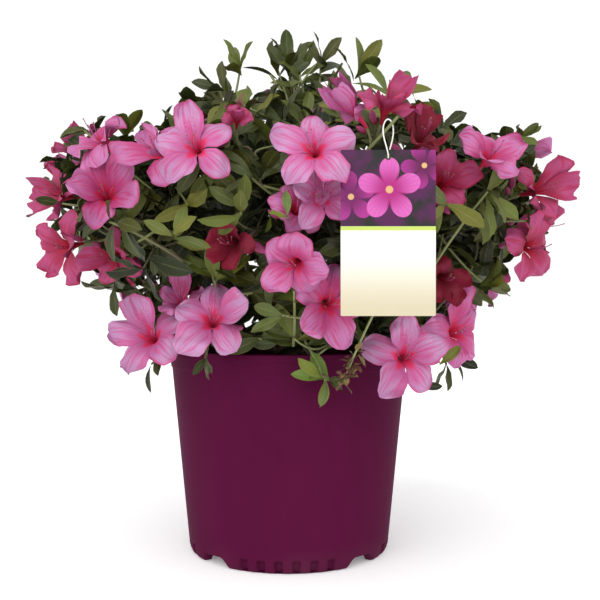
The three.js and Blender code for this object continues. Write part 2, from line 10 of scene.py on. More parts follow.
import bmesh
import bpy
import numpy as np
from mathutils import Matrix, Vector, noise


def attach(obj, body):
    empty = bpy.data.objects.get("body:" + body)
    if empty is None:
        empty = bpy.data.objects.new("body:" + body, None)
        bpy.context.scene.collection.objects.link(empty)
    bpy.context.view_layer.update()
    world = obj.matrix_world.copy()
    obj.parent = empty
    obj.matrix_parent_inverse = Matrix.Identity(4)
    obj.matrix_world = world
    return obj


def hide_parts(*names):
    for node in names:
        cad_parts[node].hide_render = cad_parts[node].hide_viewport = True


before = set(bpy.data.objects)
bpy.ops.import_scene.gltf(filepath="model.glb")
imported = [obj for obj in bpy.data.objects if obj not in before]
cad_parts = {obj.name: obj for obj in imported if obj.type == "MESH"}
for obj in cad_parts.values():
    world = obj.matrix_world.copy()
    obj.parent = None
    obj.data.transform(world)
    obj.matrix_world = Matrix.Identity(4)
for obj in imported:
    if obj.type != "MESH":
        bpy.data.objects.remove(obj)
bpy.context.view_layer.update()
NODES = sorted(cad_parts)

# The view, and the floor and lights of the studio.
CAMERA_AT = (0.0124, -0.985, 0.2755)
CAMERA_LENS = 52.5
CAMERA_SENSOR = 36
FLOOR_SIZE = 14
HORIZON_GLOW = 1.06
CEILING_GLOW = 0.64
GLOW_HEIGHTS = (0.34, 0.62)
FLOOR_GLOW = 0.20
# Each sun's swing and lift in degrees, its softness in degrees, and its strength.
SUNS = {"key": (-20, 40, 70, 1.66), "fill": (40, 24, 90, 0.50)}

# The pot, as in the part's source.
POT_HEIGHT = 0.222
RIM_RADIUS = 0.132
FOOT_RADIUS = 0.110
FOOT_ROUNDING = 0.006
WALL = 0.0026
LIP_HEIGHT = 0.007
LIP_PROUD = 0.0024
BAND_HEIGHT = 0.020
BAND_PROUD = 0.001
FLOOR_LIFT = 0.012
PAD_RADIUS = 0.040
FOOT_RING = 0.011
FLOOR_SLOPE = 0.004
EDGE_ROUNDING = 0.0015
NOTCHES = 4
NOTCH_WIDTH = 0.042
NOTCH_TOP_WIDTH = 0.020
NOTCH_HEIGHT = 0.010
FLUTES_PER_FOOT = 6
FLUTE_STEP = math.radians(9.5)
FLUTE_WIDTH = 0.0095
FLUTE_HEIGHT = 0.0145
FLUTE_DEPTH = 0.0050
FLUTE_FLAT_SHARE = 0.3
FLUTE_FULL_SHARE = 0.75
ARCH_ROUNDNESS = 0.7
POT_STEPS = 720
FOOT_ROWS = 6
FLUTED_ROWS = 8
WALL_ROWS = 12
BAND_ROWS = 4
LIP_ROWS = 5
POT_CREASE = 42
SOIL_TOP = 0.200
SOIL_CLEARANCE = 0.001
SOIL_RINGS = 26
SOIL_STEPS = 120
SOIL_LUMPS = 0.0022
LUMPS_PER_METRE = 70
LUMP_LEVEL = 0.6
CHIP_COUNT = 420
CHIP_SEED = 5
CHIP_MARGIN = 0.010
CHIP_SINK = 0.0004
CHIP_LENGTHS = (0.005, 0.014)
CHIP_WIDTH_SHARES = (0.3, 0.6)
CHIP_THICKNESS_SHARE = 0.28
CHIP_LEAN = 24
GAP = 0.0003

# The woody frame, as in the part's source.
CROWN_AXIS = 0.012
TRUNK_TOP = 0.306
TRUNK_RADIUS = 0.009
TRUNK_TIP_RADIUS = 0.0052
FLARE_RADIUS = 0.014
FLARE_HEIGHT = 0.014
TRUNK_CUT = 0.006
BOUGH_TIP_RADIUS = 0.0024
BOUGH_TIP_SHARE = 0.62
BOUGH_SAG = 0.003
BOUGH_LEVEL_STEP = 0.013
CURVE_STEPS = 40
TRUNK_STEPS = 100
BOUGH_POINTS = 30
TRUNK_GRID = (22, 48)
BOUGH_GRID = (12, 24)
BOUGH_SWELL = 1.1
BARK_RELIEF = 0.14
BARK_AROUND = 2.4
BARK_ALONG = 5
BARK_GRAIN = 2.7
BARK_GRAIN_SHARE = 0.6
STEM_RADIUS = 0.0022
STEM_GAP = 0.0008
CORE_RADIUS = 0.025
TWIG_START_SHARE = 0.8
TWIG_RADII = (0.0021, 0.0013)
FINE_TWIG_RADII = (0.0014, 0.0010)
SPRIG_RADII = (0.0017, 0.0011)

# How far blooms have opened.
WIDE, BOWL, FUNNEL, BUD = range(4)

# The crown's outline and its sprays, as in the part's source.
OUTLINE = [
    (0.168, 0.158), (0.205, 0.196), (0.262, 0.206), (0.300, 0.250), (0.345, 0.283),
    (0.400, 0.290), (0.438, 0.274), (0.458, 0.232), (0.486, 0.158), (0.530, 0.122),
    (0.574, 0.092), (0.580, 0.0),
]
OUTLINE_HEIGHTS, OUTLINE_REACHES = (np.array(row) for row in zip(*OUTLINE))
CROWN_BOTTOM, CROWN_TOP = OUTLINE_HEIGHTS[[0, -1]]
CROWN_DEPTH_SHARE = 0.92
OUTLINE_SLACK = 0.006
SLOPE_STEP = 0.010
STEEPEST_DOWN = -0.7
STEEPEST_UP = 4
LEAF_INSET = 0.036
BLOOM_ROOM = 0.044
BLOOM_SINK = 0.004
SPRAYS = 150
KEEP_CLEAR = 0.0025
TIERS = {
    "lower": dict(count=6, first=-40, height=0.252, out=0.146, fork=0.216, radius=0.0040),
    "middle": dict(count=8, first=0, height=0.362, out=0.190, fork=0.242, radius=0.0044),
    "upper": dict(count=6, first=-50, height=0.448, out=0.112, fork=0.274, radius=0.0038),
}
TOP_MASS_HEIGHT = 0.480
GOLDEN_TURN = math.pi * (3 - math.sqrt(5))
# How upright a way may be before another direction is taken as square to it.
STEEP_TWIG = 0.9
STEEP_BLOOM = 0.95

# Blooms on the front: the distance right of the pot's axis, the height, how far its base lies
# inside the outline, the way that it faces in degrees right of the front and above level, its
# tone from pale to crimson, the crimson being painted shade for blooms deep in the crown, how
# far it has opened, and its size. The back carries the same ones, turned half a turn.
BLOOMS = [
    (-0.070, 0.250, 0.022, 2, 20, 0, WIDE, 1.02), (-0.132, 0.232, 0.022, -14, 22, 0, WIDE, 0.98),
    (0.035, 0.274, 0.026, 10, -8, 1, WIDE, 0.96), (0.110, 0.219, 0.022, 6, 4, 0, WIDE, 1.00),
    (0.160, 0.240, 0.022, 28, 10, 1, WIDE, 1.00), (-0.210, 0.332, 0.026, -40, -12, 2, WIDE, 0.96),
    (-0.222, 0.384, 0.044, -58, 2, 2, BOWL, 0.94), (-0.164, 0.366, 0.022, 8, 16, 1, WIDE, 0.92),
    (-0.158, 0.410, 0.022, -44, 36, 1, BOWL, 0.94), (0.006, 0.350, 0.050, 18, 20, 1, BOWL, 0.80),
    (-0.044, 0.330, 0.060, -20, -12, 3, BOWL, 0.68), (0.148, 0.300, 0.060, 16, -16, 3, BOWL, 0.66),
    (0.232, 0.330, 0.026, 34, -10, 2, WIDE, 0.92), (0.238, 0.382, 0.036, 44, 8, 2, BOWL, 0.88),
    (0.178, 0.398, 0.026, 14, 20, 1, BOWL, 0.86), (-0.074, 0.402, 0.022, -6, 8, 0, WIDE, 0.86),
    (0.012, 0.312, 0.026, -14, -22, 1, BOWL, 0.98), (0.026, 0.398, 0.036, -6, 14, 0, WIDE, 0.88),
    (0.084, 0.432, 0.026, 14, 42, 2, BOWL, 0.80), (0.114, 0.408, 0.036, 20, 30, 3, BOWL, 0.68),
    (-0.164, 0.322, 0.050, -22, -18, 2, WIDE, 0.76), (0.246, 0.352, 0.036, 50, 0, 2, BOWL, 0.84),
    (0.068, 0.428, 0.026, -50, 38, 1, BUD, 0.84), (0.030, 0.364, 0.050, 4, 2, 0, WIDE, 0.74),
    (0.176, 0.268, 0.044, 30, 8, 1, BOWL, 0.80), (0.140, 0.380, 0.062, 14, 10, 2, BOWL, 0.78),
    (-0.044, 0.430, 0.044, 10, 30, 2, FUNNEL, 0.62), (-0.102, 0.400, 0.036, -40, 18, 1, BOWL, 0.84),
    (-0.100, 0.264, 0.040, -20, 44, 1, BOWL, 0.74),
]
CORE_BLOOMS = 20
# More blooms on the sides and over the top, out of the front's sight: the bearing in degrees
# from the front towards the right, the height, how far inside the outline, the lift, and the
# tone, opening and size as above.
SIDE_BLOOMS = [
    (118, 0.300, 0.030, 0, 1, WIDE, 0.96), (112, 0.400, 0.024, 16, 0, WIDE, 0.98),
    (96, 0.432, 0.034, 44, 1, BOWL, 0.84), (128, 0.470, 0.024, 60, 1, WIDE, 0.92),
    (-118, 0.300, 0.030, 4, 0, WIDE, 0.98), (-108, 0.408, 0.024, 20, 1, WIDE, 0.96),
    (-122, 0.250, 0.022, 6, 1, BOWL, 0.90), (-140, 0.468, 0.024, 56, 0, WIDE, 0.94),
    (-98, 0.436, 0.034, 50, 2, BOWL, 0.84), (164, 0.482, 0.024, 62, 1, WIDE, 0.94),
    (130, 0.256, 0.024, 4, 2, WIDE, 0.92), (196, 0.508, 0.030, 72, 0, WIDE, 0.88),
    (232, 0.490, 0.024, 66, 2, BOWL, 0.86),
]
BLOOM_RADIUS = 0.042
SIDE_BLOOM_SEED = 301
# The room before a bloom is a wedge: its reach where the front is kept free, where the bloom is
# deep in the crown, and otherwise, the slope of its side, and where it starts.
FREE_FRONT = 0.062
DEEP_FRONT = 0.028
HIDDEN_FRONT = 0.042
FRONT_SLOPE = 0.35
FRONT_START = 0.004

# Petals, buds and stamens, at their real sizes.
PETALS = 5
PETAL_GRID = (6, 12)
PETAL_ROLL = 0.45
PETAL_TURN_JITTER = 0.06
PETAL_SIZES = (0.90, 1.06)
BLOSSOM_SEED = 500
BUD_GRID = (10, 8)
BUD_PLACE = (0.3, 0.5, 0.8)
BUD_LENGTHS = (0.013, 0.024)
BUD_SPREADS = (1.2, 2.4)
BUD_WIND = 2.2
BUD_TAPER = (0.52, 0.30)
BUD_FOLDS = 0.12
BUD_STALK = 0.010
BUD_STALK_RADII = (0.0009, 0.0013)
WHORL_DROP = 0.012
STAMENS = 5
STAMEN_LENGTHS = (0.028, 0.037)
STAMEN_SPREADS = (0.003, 0.009)
STAMEN_RADIUS = 0.00036
STAMEN_POINTS = 6
FILAMENT_GRID = (3, 4)
STAMEN_LIFT = 0.004
STAMEN_SAG = 0.003
STYLE_LENGTH = 0.044
STYLE_RADIUS = 0.0005
ANTHER_RADIUS = 0.0008

# Finer twigs: how many, how far inside the outline, the spiral's first turn, and a seed.
FINE_TWIGS = (270, (0.014, 0.062), 0.4, 1001)
INNER_TWIGS = (190, (0.060, 0.125), 1.3, 3001)
TWIG_SEED_STEP = 1000
FINE_ROOM = 0.024
FORK_SHARES = (0.35, 0.8)
LOW_WHORL_SHARE = 0.72
SPRAY_SEED = 101
SPRIG_SEED = 7000
TWIG_POINTS = 8
TWIG_GRID = (5, 6)
TWIG_BEND_SHARE = 0.55
TWIG_SAG = 0.004
BLOOM_STALK = 0.035
SPRIG_BEND_SHARE = 0.6
SPRIG_ARCH = 0.125
FINE_RUN = 0.35
FINE_SAG = 0.05
FINE_OUTWARD = 0.7

# Leaves, at their real sizes.
LEAF_LENGTHS = (0.033, 0.052)
LEAF_WIDTH_SHARE = 0.37
LEAF_WIDEST = 0.56
LEAF_STALK_SHARE = 0.06
LEAF_SWELL = 1.5
LEAF_SHOULDER = (2.1, 0.72)
LEAF_END_SHARE = 0.02
LEAF_ROWS_TO_TIP = 1.25
LEAF_RISE = 0.10
LEAF_WAVES = 9
LEAF_GRID = (4, 7)
FIRST_LEAF_SHARE = 0.80
LEAF_STEP = 0.0026
LEAF_ROLL = 0.35
LIGHTWARD = 0.45
LEAVES_PER_WHORL = (5, 8)
BLOOM_LEAVES = 5
HOOK_LEAVES = 6
LOW_LEAVES = 2
WHORL_TILTS = (44, 88)
BLOOM_WHORL_TILTS = (72, 96)
LOW_WHORL_TILTS = (58, 84)
TILT_JITTER = 12
ATTEMPTS = 3
ATTEMPT_TURN = 0.7
ATTEMPT_TILT = 10
LOWEST_LEAF = 0.226
HIGHEST_LEAF = (0.462, 0.528)
HIGHEST_INNER = 0.47
RAGS_PER_METRE = 22
RAGS_LEVEL = 3.1
# The shares of sprays whose leaves are dark, and dark or middling; inside the crown the darker
# shares are painted shade.
OUTER_TONES = (0.22, 0.66)
INNER_SHADE_TONES = (0.7, 1.0)
SPRIG_SLACK = 0.03
SUNWARD = 1.5
LEAF_COLUMNS = 4
DARK, MID, LIGHT, YOUNG = range(4)

# Sprigs on the front that stand clear of the crown: where each ends, the way it points in
# degrees right of the front and above level, its leaves, their tone, their lengths and how far
# they lean out, and where its stem starts if that shows.
Sprig = namedtuple("Sprig", "at swing lift leaves tone lengths tilts root", defaults=(None,))
SPRIGS = [
    Sprig((-0.050, -0.070, 0.518), -20, 66, 4, LIGHT, (0.038, 0.046), (8, 76)),
    Sprig((-0.070, -0.090, 0.492), -70, 24, 4, MID, (0.036, 0.044), (4, 70)),
    Sprig((0.000, -0.070, 0.520), -10, 74, 6, MID, (0.040, 0.048), (10, 66)),
    Sprig((0.034, -0.080, 0.520), 16, 70, 5, MID, (0.036, 0.044), (10, 70)),
    Sprig((-0.012, 0.004, 0.534), -6, 82, 5, MID, (0.042, 0.048), (4, 60)),
    Sprig((0.012, -0.080, 0.508), 0, 64, 8, LIGHT, (0.034, 0.044), (50, 90)),
    Sprig((0.074, -0.060, 0.516), 50, 52, 7, LIGHT, (0.042, 0.052), (6, 80)),
    Sprig((0.104, -0.110, 0.482), 48, 56, 4, LIGHT, (0.046, 0.054), (2, 60)),
    Sprig((-0.172, -0.190, 0.404), -15, 70, 5, LIGHT, (0.032, 0.040), (6, 74)),
    Sprig((-0.228, -0.100, 0.373), -80, 8, 4, MID, (0.032, 0.042), (4, 64)),
    Sprig((-0.201, -0.120, 0.443), -72, 18, 4, MID, (0.030, 0.038), (6, 60)),
    Sprig((-0.154, -0.222, 0.344), -54, 0, 6, MID, (0.034, 0.042), (46, 96),
          (-0.096, -0.176, 0.312)),
    Sprig((-0.094, -0.250, 0.330), -5, 26, 6, LIGHT, (0.030, 0.038), (48, 88)),
    Sprig((-0.126, -0.238, 0.325), -64, -26, 3, LIGHT, (0.038, 0.046), (4, 40)),
    Sprig((-0.184, -0.120, 0.296), -78, 2, 3, LIGHT, (0.034, 0.040), (4, 40)),
    Sprig((0.002, -0.262, 0.345), 24, 30, 4, YOUNG, (0.024, 0.030), (56, 88)),
    Sprig((0.007, -0.214, 0.284), -20, 56, 6, LIGHT, (0.036, 0.046), (26, 88),
          (0.006, -0.150, 0.232)),
    Sprig((-0.004, -0.210, 0.262), -56, 6, 5, LIGHT, (0.036, 0.042), (10, 84)),
    Sprig((0.034, -0.154, 0.201), -66, 24, 4, YOUNG, (0.034, 0.040), (2, 50),
          (0.012, -0.124, 0.244)),
    Sprig((0.037, -0.154, 0.199), 8, -74, 2, YOUNG, (0.030, 0.034), (2, 26),
          (0.032, -0.151, 0.204)),
    Sprig((0.040, -0.154, 0.200), 54, -30, 2, MID, (0.020, 0.024), (4, 40),
          (0.034, -0.151, 0.204)),
    Sprig((-0.078, -0.150, 0.218), -8, -70, 3, MID, (0.024, 0.030), (6, 74)),
    Sprig((-0.139, -0.094, 0.210), -10, -78, 1, DARK, (0.034, 0.036), (4, 8)),
    Sprig((-0.146, -0.090, 0.216), -64, -38, 2, DARK, (0.032, 0.034), (4, 30)),
    Sprig((0.162, -0.090, 0.210), 4, -78, 2, MID, (0.034, 0.036), (4, 40)),
    Sprig((0.168, -0.090, 0.216), 60, -38, 2, DARK, (0.032, 0.034), (4, 30)),
    Sprig((0.128, -0.130, 0.192), 70, -4, 2, DARK, (0.026, 0.030), (4, 30)),
    Sprig((0.146, -0.150, 0.216), 18, 64, 3, LIGHT, (0.030, 0.034), (6, 60)),
    Sprig((0.185, -0.180, 0.375), 30, 14, 7, LIGHT, (0.042, 0.052), (46, 112),
          (0.124, -0.140, 0.280)),
    Sprig((0.230, -0.120, 0.438), 70, 20, 4, LIGHT, (0.028, 0.036), (4, 60)),
    Sprig((0.270, -0.080, 0.381), 70, -20, 3, MID, (0.028, 0.034), (4, 50)),
    Sprig((0.200, -0.110, 0.289), 66, 6, 5, LIGHT, (0.040, 0.050), (2, 56)),
    Sprig((0.232, -0.140, 0.352), 40, 6, 5, MID, (0.034, 0.044), (30, 92)),
]

# The spent flowers over the rim: the foot and the head of their stem.
SPENT_STEM = ((0.096, -0.176, 0.292), (0.056, -0.174, 0.208))
SPENT_BRACTS = 44
SPENT_SEED = 41
SPENT_RADII = (0.0013, 0.0010)
BRACT_LENGTHS = (0.006, 0.013)
BRACT_BREADTH = 1.5
BRACT_LIFT = 60
BRACT_STAND = 0.002
HEAD_REACH = (-0.22, 0.12)

# The plant label and its string, as in the part's source.
TAG_WIDTH = 0.079
TAG_HEIGHT = 0.138
TAG_THICKNESS = 0.0008
TAG_HOLE_RADIUS = 0.0025
TAG_HOLE_DROP = 0.006
TAG_CORNER = 0.0012
TAG_CORNER_POINTS = 7
TAG_CREASE = 35
TAG_SIGHT = 0.08
TAG_BACK = 0.006
HOOK = np.array((0.093, -0.268, 0.426))
HOOK_SEED = 77
HOOK_REST = 0.014
HOOK_ROOM = 0.0029
LOOP_HEIGHT = 0.032
LOOP_WIDTH = 0.011
STRING_RADIUS = 0.0006
STRING_SIDES = 8
STRING_STEPS = 72

# The stream of numbers that the part's source draws from.
SEED_SPREAD = 7919
SEED_START = 12345
STREAM_FACTOR = 48271
STREAM_PRIME = 2147483647

# Each small thing's own map holds a grid of tiles: a tile gives the tone, and the place in
# the tile gives the place on the leaf, petal or twig.
BAKE_MAP = "OFBake"
TILES = 4
TILE_MARGIN = 0.06


# ---- Numbers, directions and curves ----

def seeded(seed):
    """The part's own stream of numbers from 0 to 1."""
    state = seed * SEED_SPREAD + SEED_START
    while True:
        state = state * STREAM_FACTOR % STREAM_PRIME
        yield state / STREAM_PRIME


def between(low, high, share):
    return low + (high - low) * share


def smooth(value, low, high):
    """0 below low, 1 above high, and an eased step in between."""
    share = np.clip((value - low) / (high - low), 0, 1)
    return share * share * (3 - 2 * share)


def unit(vector):
    return vector / np.linalg.norm(vector)


def across_of(way):
    """A direction square to a way, level where the way isn't upright."""
    reference = (0, 0, 1) if abs(way[2]) < STEEP_TWIG else (1, 0, 0)
    return unit(np.cross(way, reference))


def facing(swing, lift):
    """A direction so many degrees right of the front and so many above level."""
    swing, lift = math.radians(swing), math.radians(lift)
    level = math.cos(lift)
    return np.array((math.sin(swing) * level, -math.cos(swing) * level, math.sin(lift)))


def bezier(points, shares):
    """Points at shares of the way along a curve of three or four control points."""
    points = np.array(points, float)
    order = len(points) - 1
    shares = np.asarray(shares, float)[:, None]
    curve = 0
    for i, point in enumerate(points):
        weight = math.comb(order, i) * shares**i * (1 - shares) ** (order - i)
        curve = curve + weight * point
    return curve


def rounded_path(points, count):
    """Evenly spaced points on the source's centripetal curve through points."""
    points = [np.array(point, float) for point in points]
    points = [2 * points[0] - points[1], *points, 2 * points[-1] - points[-2]]
    fine = []
    for before, start, end, after in zip(points, points[1:], points[2:], points[3:]):
        knots = [math.sqrt(np.linalg.norm(b - a))
                 for a, b in ((before, start), (start, end), (end, after))]
        leave = ((start - before) / knots[0] - (end - before) / (knots[0] + knots[1])
                 + (end - start) / knots[1]) * knots[1]
        arrive = ((end - start) / knots[1] - (after - start) / (knots[1] + knots[2])
                  + (after - end) / knots[2]) * knots[1]
        controls = (start, start + leave / 3, end - arrive / 3, end)
        fine.append(bezier(controls, np.linspace(0, 1, CURVE_STEPS)))
    fine = np.concatenate(fine)
    lengths = np.concatenate(([0], np.cumsum(np.linalg.norm(np.diff(fine, axis=0), axis=1))))
    wanted = np.linspace(0, lengths[-1], count)
    return np.stack([np.interp(wanted, lengths, fine[:, i]) for i in range(3)], axis=1)


# ---- Meshes ----

Template = namedtuple("Template", "corners faces map")


def template_of(bm):
    """A small shape as arrays, to lay many copies of it in one mesh."""
    bmesh.ops.triangulate(bm, faces=bm.faces[:])
    layer = bm.loops.layers.uv.active
    corners = np.array([vertex.co for vertex in bm.verts])
    faces = np.array([[vertex.index for vertex in face.verts] for face in bm.faces])
    places = [loop[layer].uv[:] for face in bm.faces for loop in face.loops] if layer else []
    bm.free()
    return Template(corners, faces, np.array(places).reshape(-1, 2))


def plain_template(bm):
    """A template whose map is the middle of a tile all over."""
    template = template_of(bm)
    return template._replace(map=np.full((len(template.faces) * 3, 2), 0.5))


def grid_sheet(across, along):
    """A flat sheet from -1 to 1 across X and from 0 to 1 along Y, with its own map."""
    bm = bmesh.new()
    bmesh.ops.create_grid(bm, x_segments=across, y_segments=along, size=0.5)
    layer = bm.loops.layers.uv.new(BAKE_MAP)
    for face in bm.faces:
        for loop in face.loops:
            loop[layer].uv = (loop.vert.co.x + 0.5, loop.vert.co.y + 0.5)
    for vertex in bm.verts:
        vertex.co.x *= 2
        vertex.co.y += 0.5
    return bm


def round_template(sides, rings, closed=True):
    """A round stick of radius 1 from 0 to 1 along Z, with rings along it and its own map."""
    bm = bmesh.new()
    bmesh.ops.create_cone(bm, cap_ends=closed, segments=sides, radius1=1, radius2=1, depth=1)
    if rings > 1:
        upright = [edge for edge in bm.edges
                   if abs(edge.verts[0].co.z - edge.verts[1].co.z) > 0.5]
        bmesh.ops.subdivide_edges(bm, edges=upright, cuts=rings - 1, use_grid_fill=True)
    layer = bm.loops.layers.uv.new(BAKE_MAP)
    for face in bm.faces:
        middle = face.calc_center_median()
        turn = math.atan2(middle.y, middle.x)
        for loop in face.loops:
            corner = loop.vert.co
            around = math.atan2(corner.y, corner.x) - turn
            around = turn + math.remainder(around, 2 * math.pi)
            loop[layer].uv = (abs(math.remainder(around, 2 * math.pi)) / math.pi, corner.z + 0.5)
    for vertex in bm.verts:
        vertex.co.z += 0.5
    return template_of(bm)


def read_along(path, share):
    """The points of a path at shares of the way along it."""
    shares = np.linspace(0, 1, len(path))
    return np.stack([np.interp(share, shares, path[:, i]) for i in range(3)], axis=1)


def units(rows):
    return rows / np.linalg.norm(rows, axis=1, keepdims=True)


def swept(template, path, radii):
    """Corners of a round template laid along a path, with a radius for each point of it."""
    share = template.corners[:, 2]
    way = units(read_along(np.gradient(path, axis=0), share))
    reference = np.eye(3)[np.argmin(np.abs(path[-1] - path[0]))]
    side = units(np.cross(way, reference))
    radius = np.interp(share, np.linspace(0, 1, len(path)), radii)[:, None]
    ring = template.corners[:, :1] * side + template.corners[:, 1:2] * np.cross(way, side)
    return read_along(path, share) + ring * radius


def loop_tube(template, path, radius):
    """Corners of a round template along a closed loop that lies near an upright plane."""
    share = template.corners[:, 2]
    ways = np.gradient(path, axis=0)
    ways[0] = ways[-1] = unit(path[1] - path[-2])
    way, centre = units(read_along(ways, share)), read_along(path, share)
    outward = centre - path[:-1].mean(axis=0)
    outward = units(outward - way * (outward * way).sum(1)[:, None])
    ring = template.corners[:, :1] * outward + template.corners[:, 1:2] * np.cross(way, outward)
    return centre + ring * radius


def placed(template, at, along, toward, size=1.0):
    """Corners of a template turned so that its Y lies along a way and its Z is near another."""
    along = unit(along)
    across = unit(np.cross(along, toward))
    turn = np.stack([across, along, np.cross(across, along)], axis=1)
    return template.corners @ (turn.T * size) + at


class Pile:
    """Many copies of small shapes, gathered into one mesh."""

    def __init__(self):
        self.corners, self.faces, self.maps, self.looks = [], [], [], []
        self.count = 0

    def add(self, template, corners, tile=(0, 0), look=0):
        self.corners.append(corners)
        self.faces.append(template.faces + self.count)
        inner = template.map * (1 - 2 * TILE_MARGIN) + TILE_MARGIN
        self.maps.append((inner + np.array(tile)) / TILES)
        self.looks.append(np.full(len(template.faces), look))
        self.count += len(corners)

    def piece(self, name, *materials, nodes=(), slot=None):
        mesh = bpy.data.meshes.new(name)
        mesh.from_pydata(np.concatenate(self.corners), [], np.concatenate(self.faces))
        layer = mesh.uv_layers.new(name=BAKE_MAP)
        layer.data.foreach_set("uv", np.concatenate(self.maps).astype(np.float32).ravel())
        mesh.polygons.foreach_set("material_index", np.concatenate(self.looks).astype(np.int32))
        return finished_piece(name, mesh, materials, nodes, slot)


def finished_piece(name, mesh, materials, nodes=(), slot=None):
    """Puts a mesh in the scene, riding on the part's one body."""
    mesh.polygons.foreach_set("use_smooth", np.full(len(mesh.polygons), True))
    for material in materials:
        mesh.materials.append(material)
    mesh.update()
    piece = bpy.data.objects.new(name, mesh)
    bpy.context.scene.collection.objects.link(piece)
    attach(piece, "root")
    if nodes:
        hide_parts(*nodes)
    return piece


def mesh_of(bm, name):
    mesh = bpy.data.meshes.new(name)
    bm.to_mesh(mesh)
    bm.free()
    return mesh


def sharpened(piece, degrees):
    """Keeps edges sharper than an angle crisp under smooth shading."""
    piece.data.set_sharp_from_angle(angle=math.radians(degrees))


# ---- Materials ----

class Finish:
    """A procedural material: nodes are added one by one and feed one Principled shader."""

    def __init__(self, name, roughness, **sockets):
        self.material = bpy.data.materials.new(name)
        self.material.use_nodes = True
        self.tree = self.material.node_tree
        self.shader = self.tree.nodes["Principled BSDF"]
        self.shader.inputs["Roughness"].default_value = roughness
        for socket, value in sockets.items():
            self.shader.inputs[socket.replace("_", " ")].default_value = value

    def feed(self, socket, value):
        if isinstance(value, bpy.types.NodeSocket):
            self.tree.links.new(value, socket)
        elif value is not None:
            colour = socket.type == "RGBA" and len(value) == 3
            socket.default_value = (*value, 1) if colour else value

    def add(self, kind, *inputs, **settings):
        node = self.tree.nodes.new("ShaderNode" + kind)
        for key, value in settings.items():
            setattr(node, key, value)
        for socket, value in zip(node.inputs, inputs):
            self.feed(socket, value)
        return node

    def calc(self, operation, *inputs):
        return self.add("Math", *inputs, operation=operation).outputs[0]

    def step(self, value, low, high):
        """An eased step from 0 at low to 1 at high."""
        node = self.add("MapRange", value, low, high, interpolation_type="SMOOTHSTEP")
        return node.outputs[0]

    def mix(self, share, first, second, blend="MIX"):
        node = self.add("Mix", data_type="RGBA", blend_type=blend)
        for index, value in ((0, share), (6, first), (7, second)):
            self.feed(node.inputs[index], value)
        return node.outputs[2]

    def product(self, first, *rest):
        """Shares multiplied together."""
        for value in rest:
            first = self.calc("MULTIPLY", first, value)
        return first

    def over(self, colour, other, *shares):
        """Lays another colour over a colour, by the product of shares."""
        return self.mix(self.product(*shares), colour, other)

    def aside(self, across):
        """How far from the middle line, from 0 to half."""
        return self.calc("ABSOLUTE", self.calc("SUBTRACT", across, 0.5))

    def noise(self, vector, scale, detail=3.0, roughness=0.5):
        node = self.add("TexNoise", vector)
        node.inputs["Scale"].default_value = scale
        node.inputs["Detail"].default_value = detail
        node.inputs["Roughness"].default_value = roughness
        return node.outputs["Fac"]

    def object_place(self):
        return self.add("TexCoord").outputs["Object"]

    def stretched(self, vector, scale):
        return self.add("Mapping", vector, None, None, scale).outputs[0]

    def tile(self):
        """The tile's column and row, and the place across and along it, each from 0 to 1."""
        whole = self.add("UVMap", uv_map=BAKE_MAP).outputs[0]
        split = self.add("SeparateXYZ", whole)
        cells, places = [], []
        for axis in (0, 1):
            scaled = self.calc("MULTIPLY", split.outputs[axis], TILES)
            cell = self.calc("FLOOR", scaled)
            place = self.calc("SUBTRACT", self.calc("SUBTRACT", scaled, cell), TILE_MARGIN)
            cells.append(cell)
            places.append(self.calc("DIVIDE", place, 1 - 2 * TILE_MARGIN))
        return (*cells, *places, whole)

    def dealt(self, cell, colours):
        """One of the colours, by a tile's column or row."""
        ramp = self.add("ValToRGB", self.calc("DIVIDE", self.calc("ADD", cell, 0.5), TILES))
        ramp.color_ramp.interpolation = "CONSTANT"
        elements = ramp.color_ramp.elements
        elements[1].position = 1 / TILES
        for _ in colours[2:]:
            elements.new(0.99)
        for i, colour in enumerate(colours):
            elements[i].position = i / TILES
            elements[i].color = (*colour, 1)
        return ramp.outputs[0]

    def bump(self, height, strength, distance):
        node = self.add("Bump")
        node.inputs["Strength"].default_value = strength
        node.inputs["Distance"].default_value = distance
        self.feed(node.inputs["Height"], height)
        self.feed(self.shader.inputs["Normal"], node.outputs[0])

    def done(self, colour, roughness=None):
        self.feed(self.shader.inputs["Base Color"], colour)
        if roughness is not None:
            self.feed(self.shader.inputs["Roughness"], roughness)
        return self.material


def leaf_finish():
    """Leathery leaves: a pale midrib, faint side veins, and a tone for each row of tiles."""
    f = Finish("azalea_leaf", 0.44, Specular_IOR_Level=0.28)
    column, row, across, along, whole = f.tile()
    # The dark row also serves as painted shade for sprays inside the crown.
    base = f.dealt(row, [(0.018, 0.022, 0.005), (0.048, 0.056, 0.010),
                         (0.112, 0.128, 0.021), (0.140, 0.195, 0.034)])
    shades = f.dealt(column, [(0.78, 0.84, 1.0), (0.98, 1.0, 0.95), (1.25, 1.1, 0.75),
                              (1.1, 1.2, 1.05)])
    colour = f.mix(1.0, base, shades, "MULTIPLY")
    aside = f.aside(across)
    slanted = f.calc("SUBTRACT", f.product(along, 7.0), f.product(aside, 3.6))
    veins = f.step(f.calc("PINGPONG", slanted, 0.5), 0.10, 0.0)
    midrib = f.step(aside, 0.045, 0.014)
    edge = f.step(aside, 0.42, 0.5)
    mottle = f.noise(whole, 55.0)
    for share, strength, blend, other in (
        (mottle, 0.55, 0.50, (0.01, 0.02, 0.01)), (veins, 0.16, 0.35, (0.30, 0.38, 0.13)),
        (midrib, 0.50, 0.40, (0.34, 0.38, 0.15)), (edge, 0.40, 0.50, (0.20, 0.20, 0.06)),
    ):
        colour = f.over(colour, f.mix(blend, colour, other), share, strength)
    f.bump(f.calc("SUBTRACT", mottle, f.calc("ADD", veins, midrib)), 0.35, 0.0006)
    return f.done(colour)


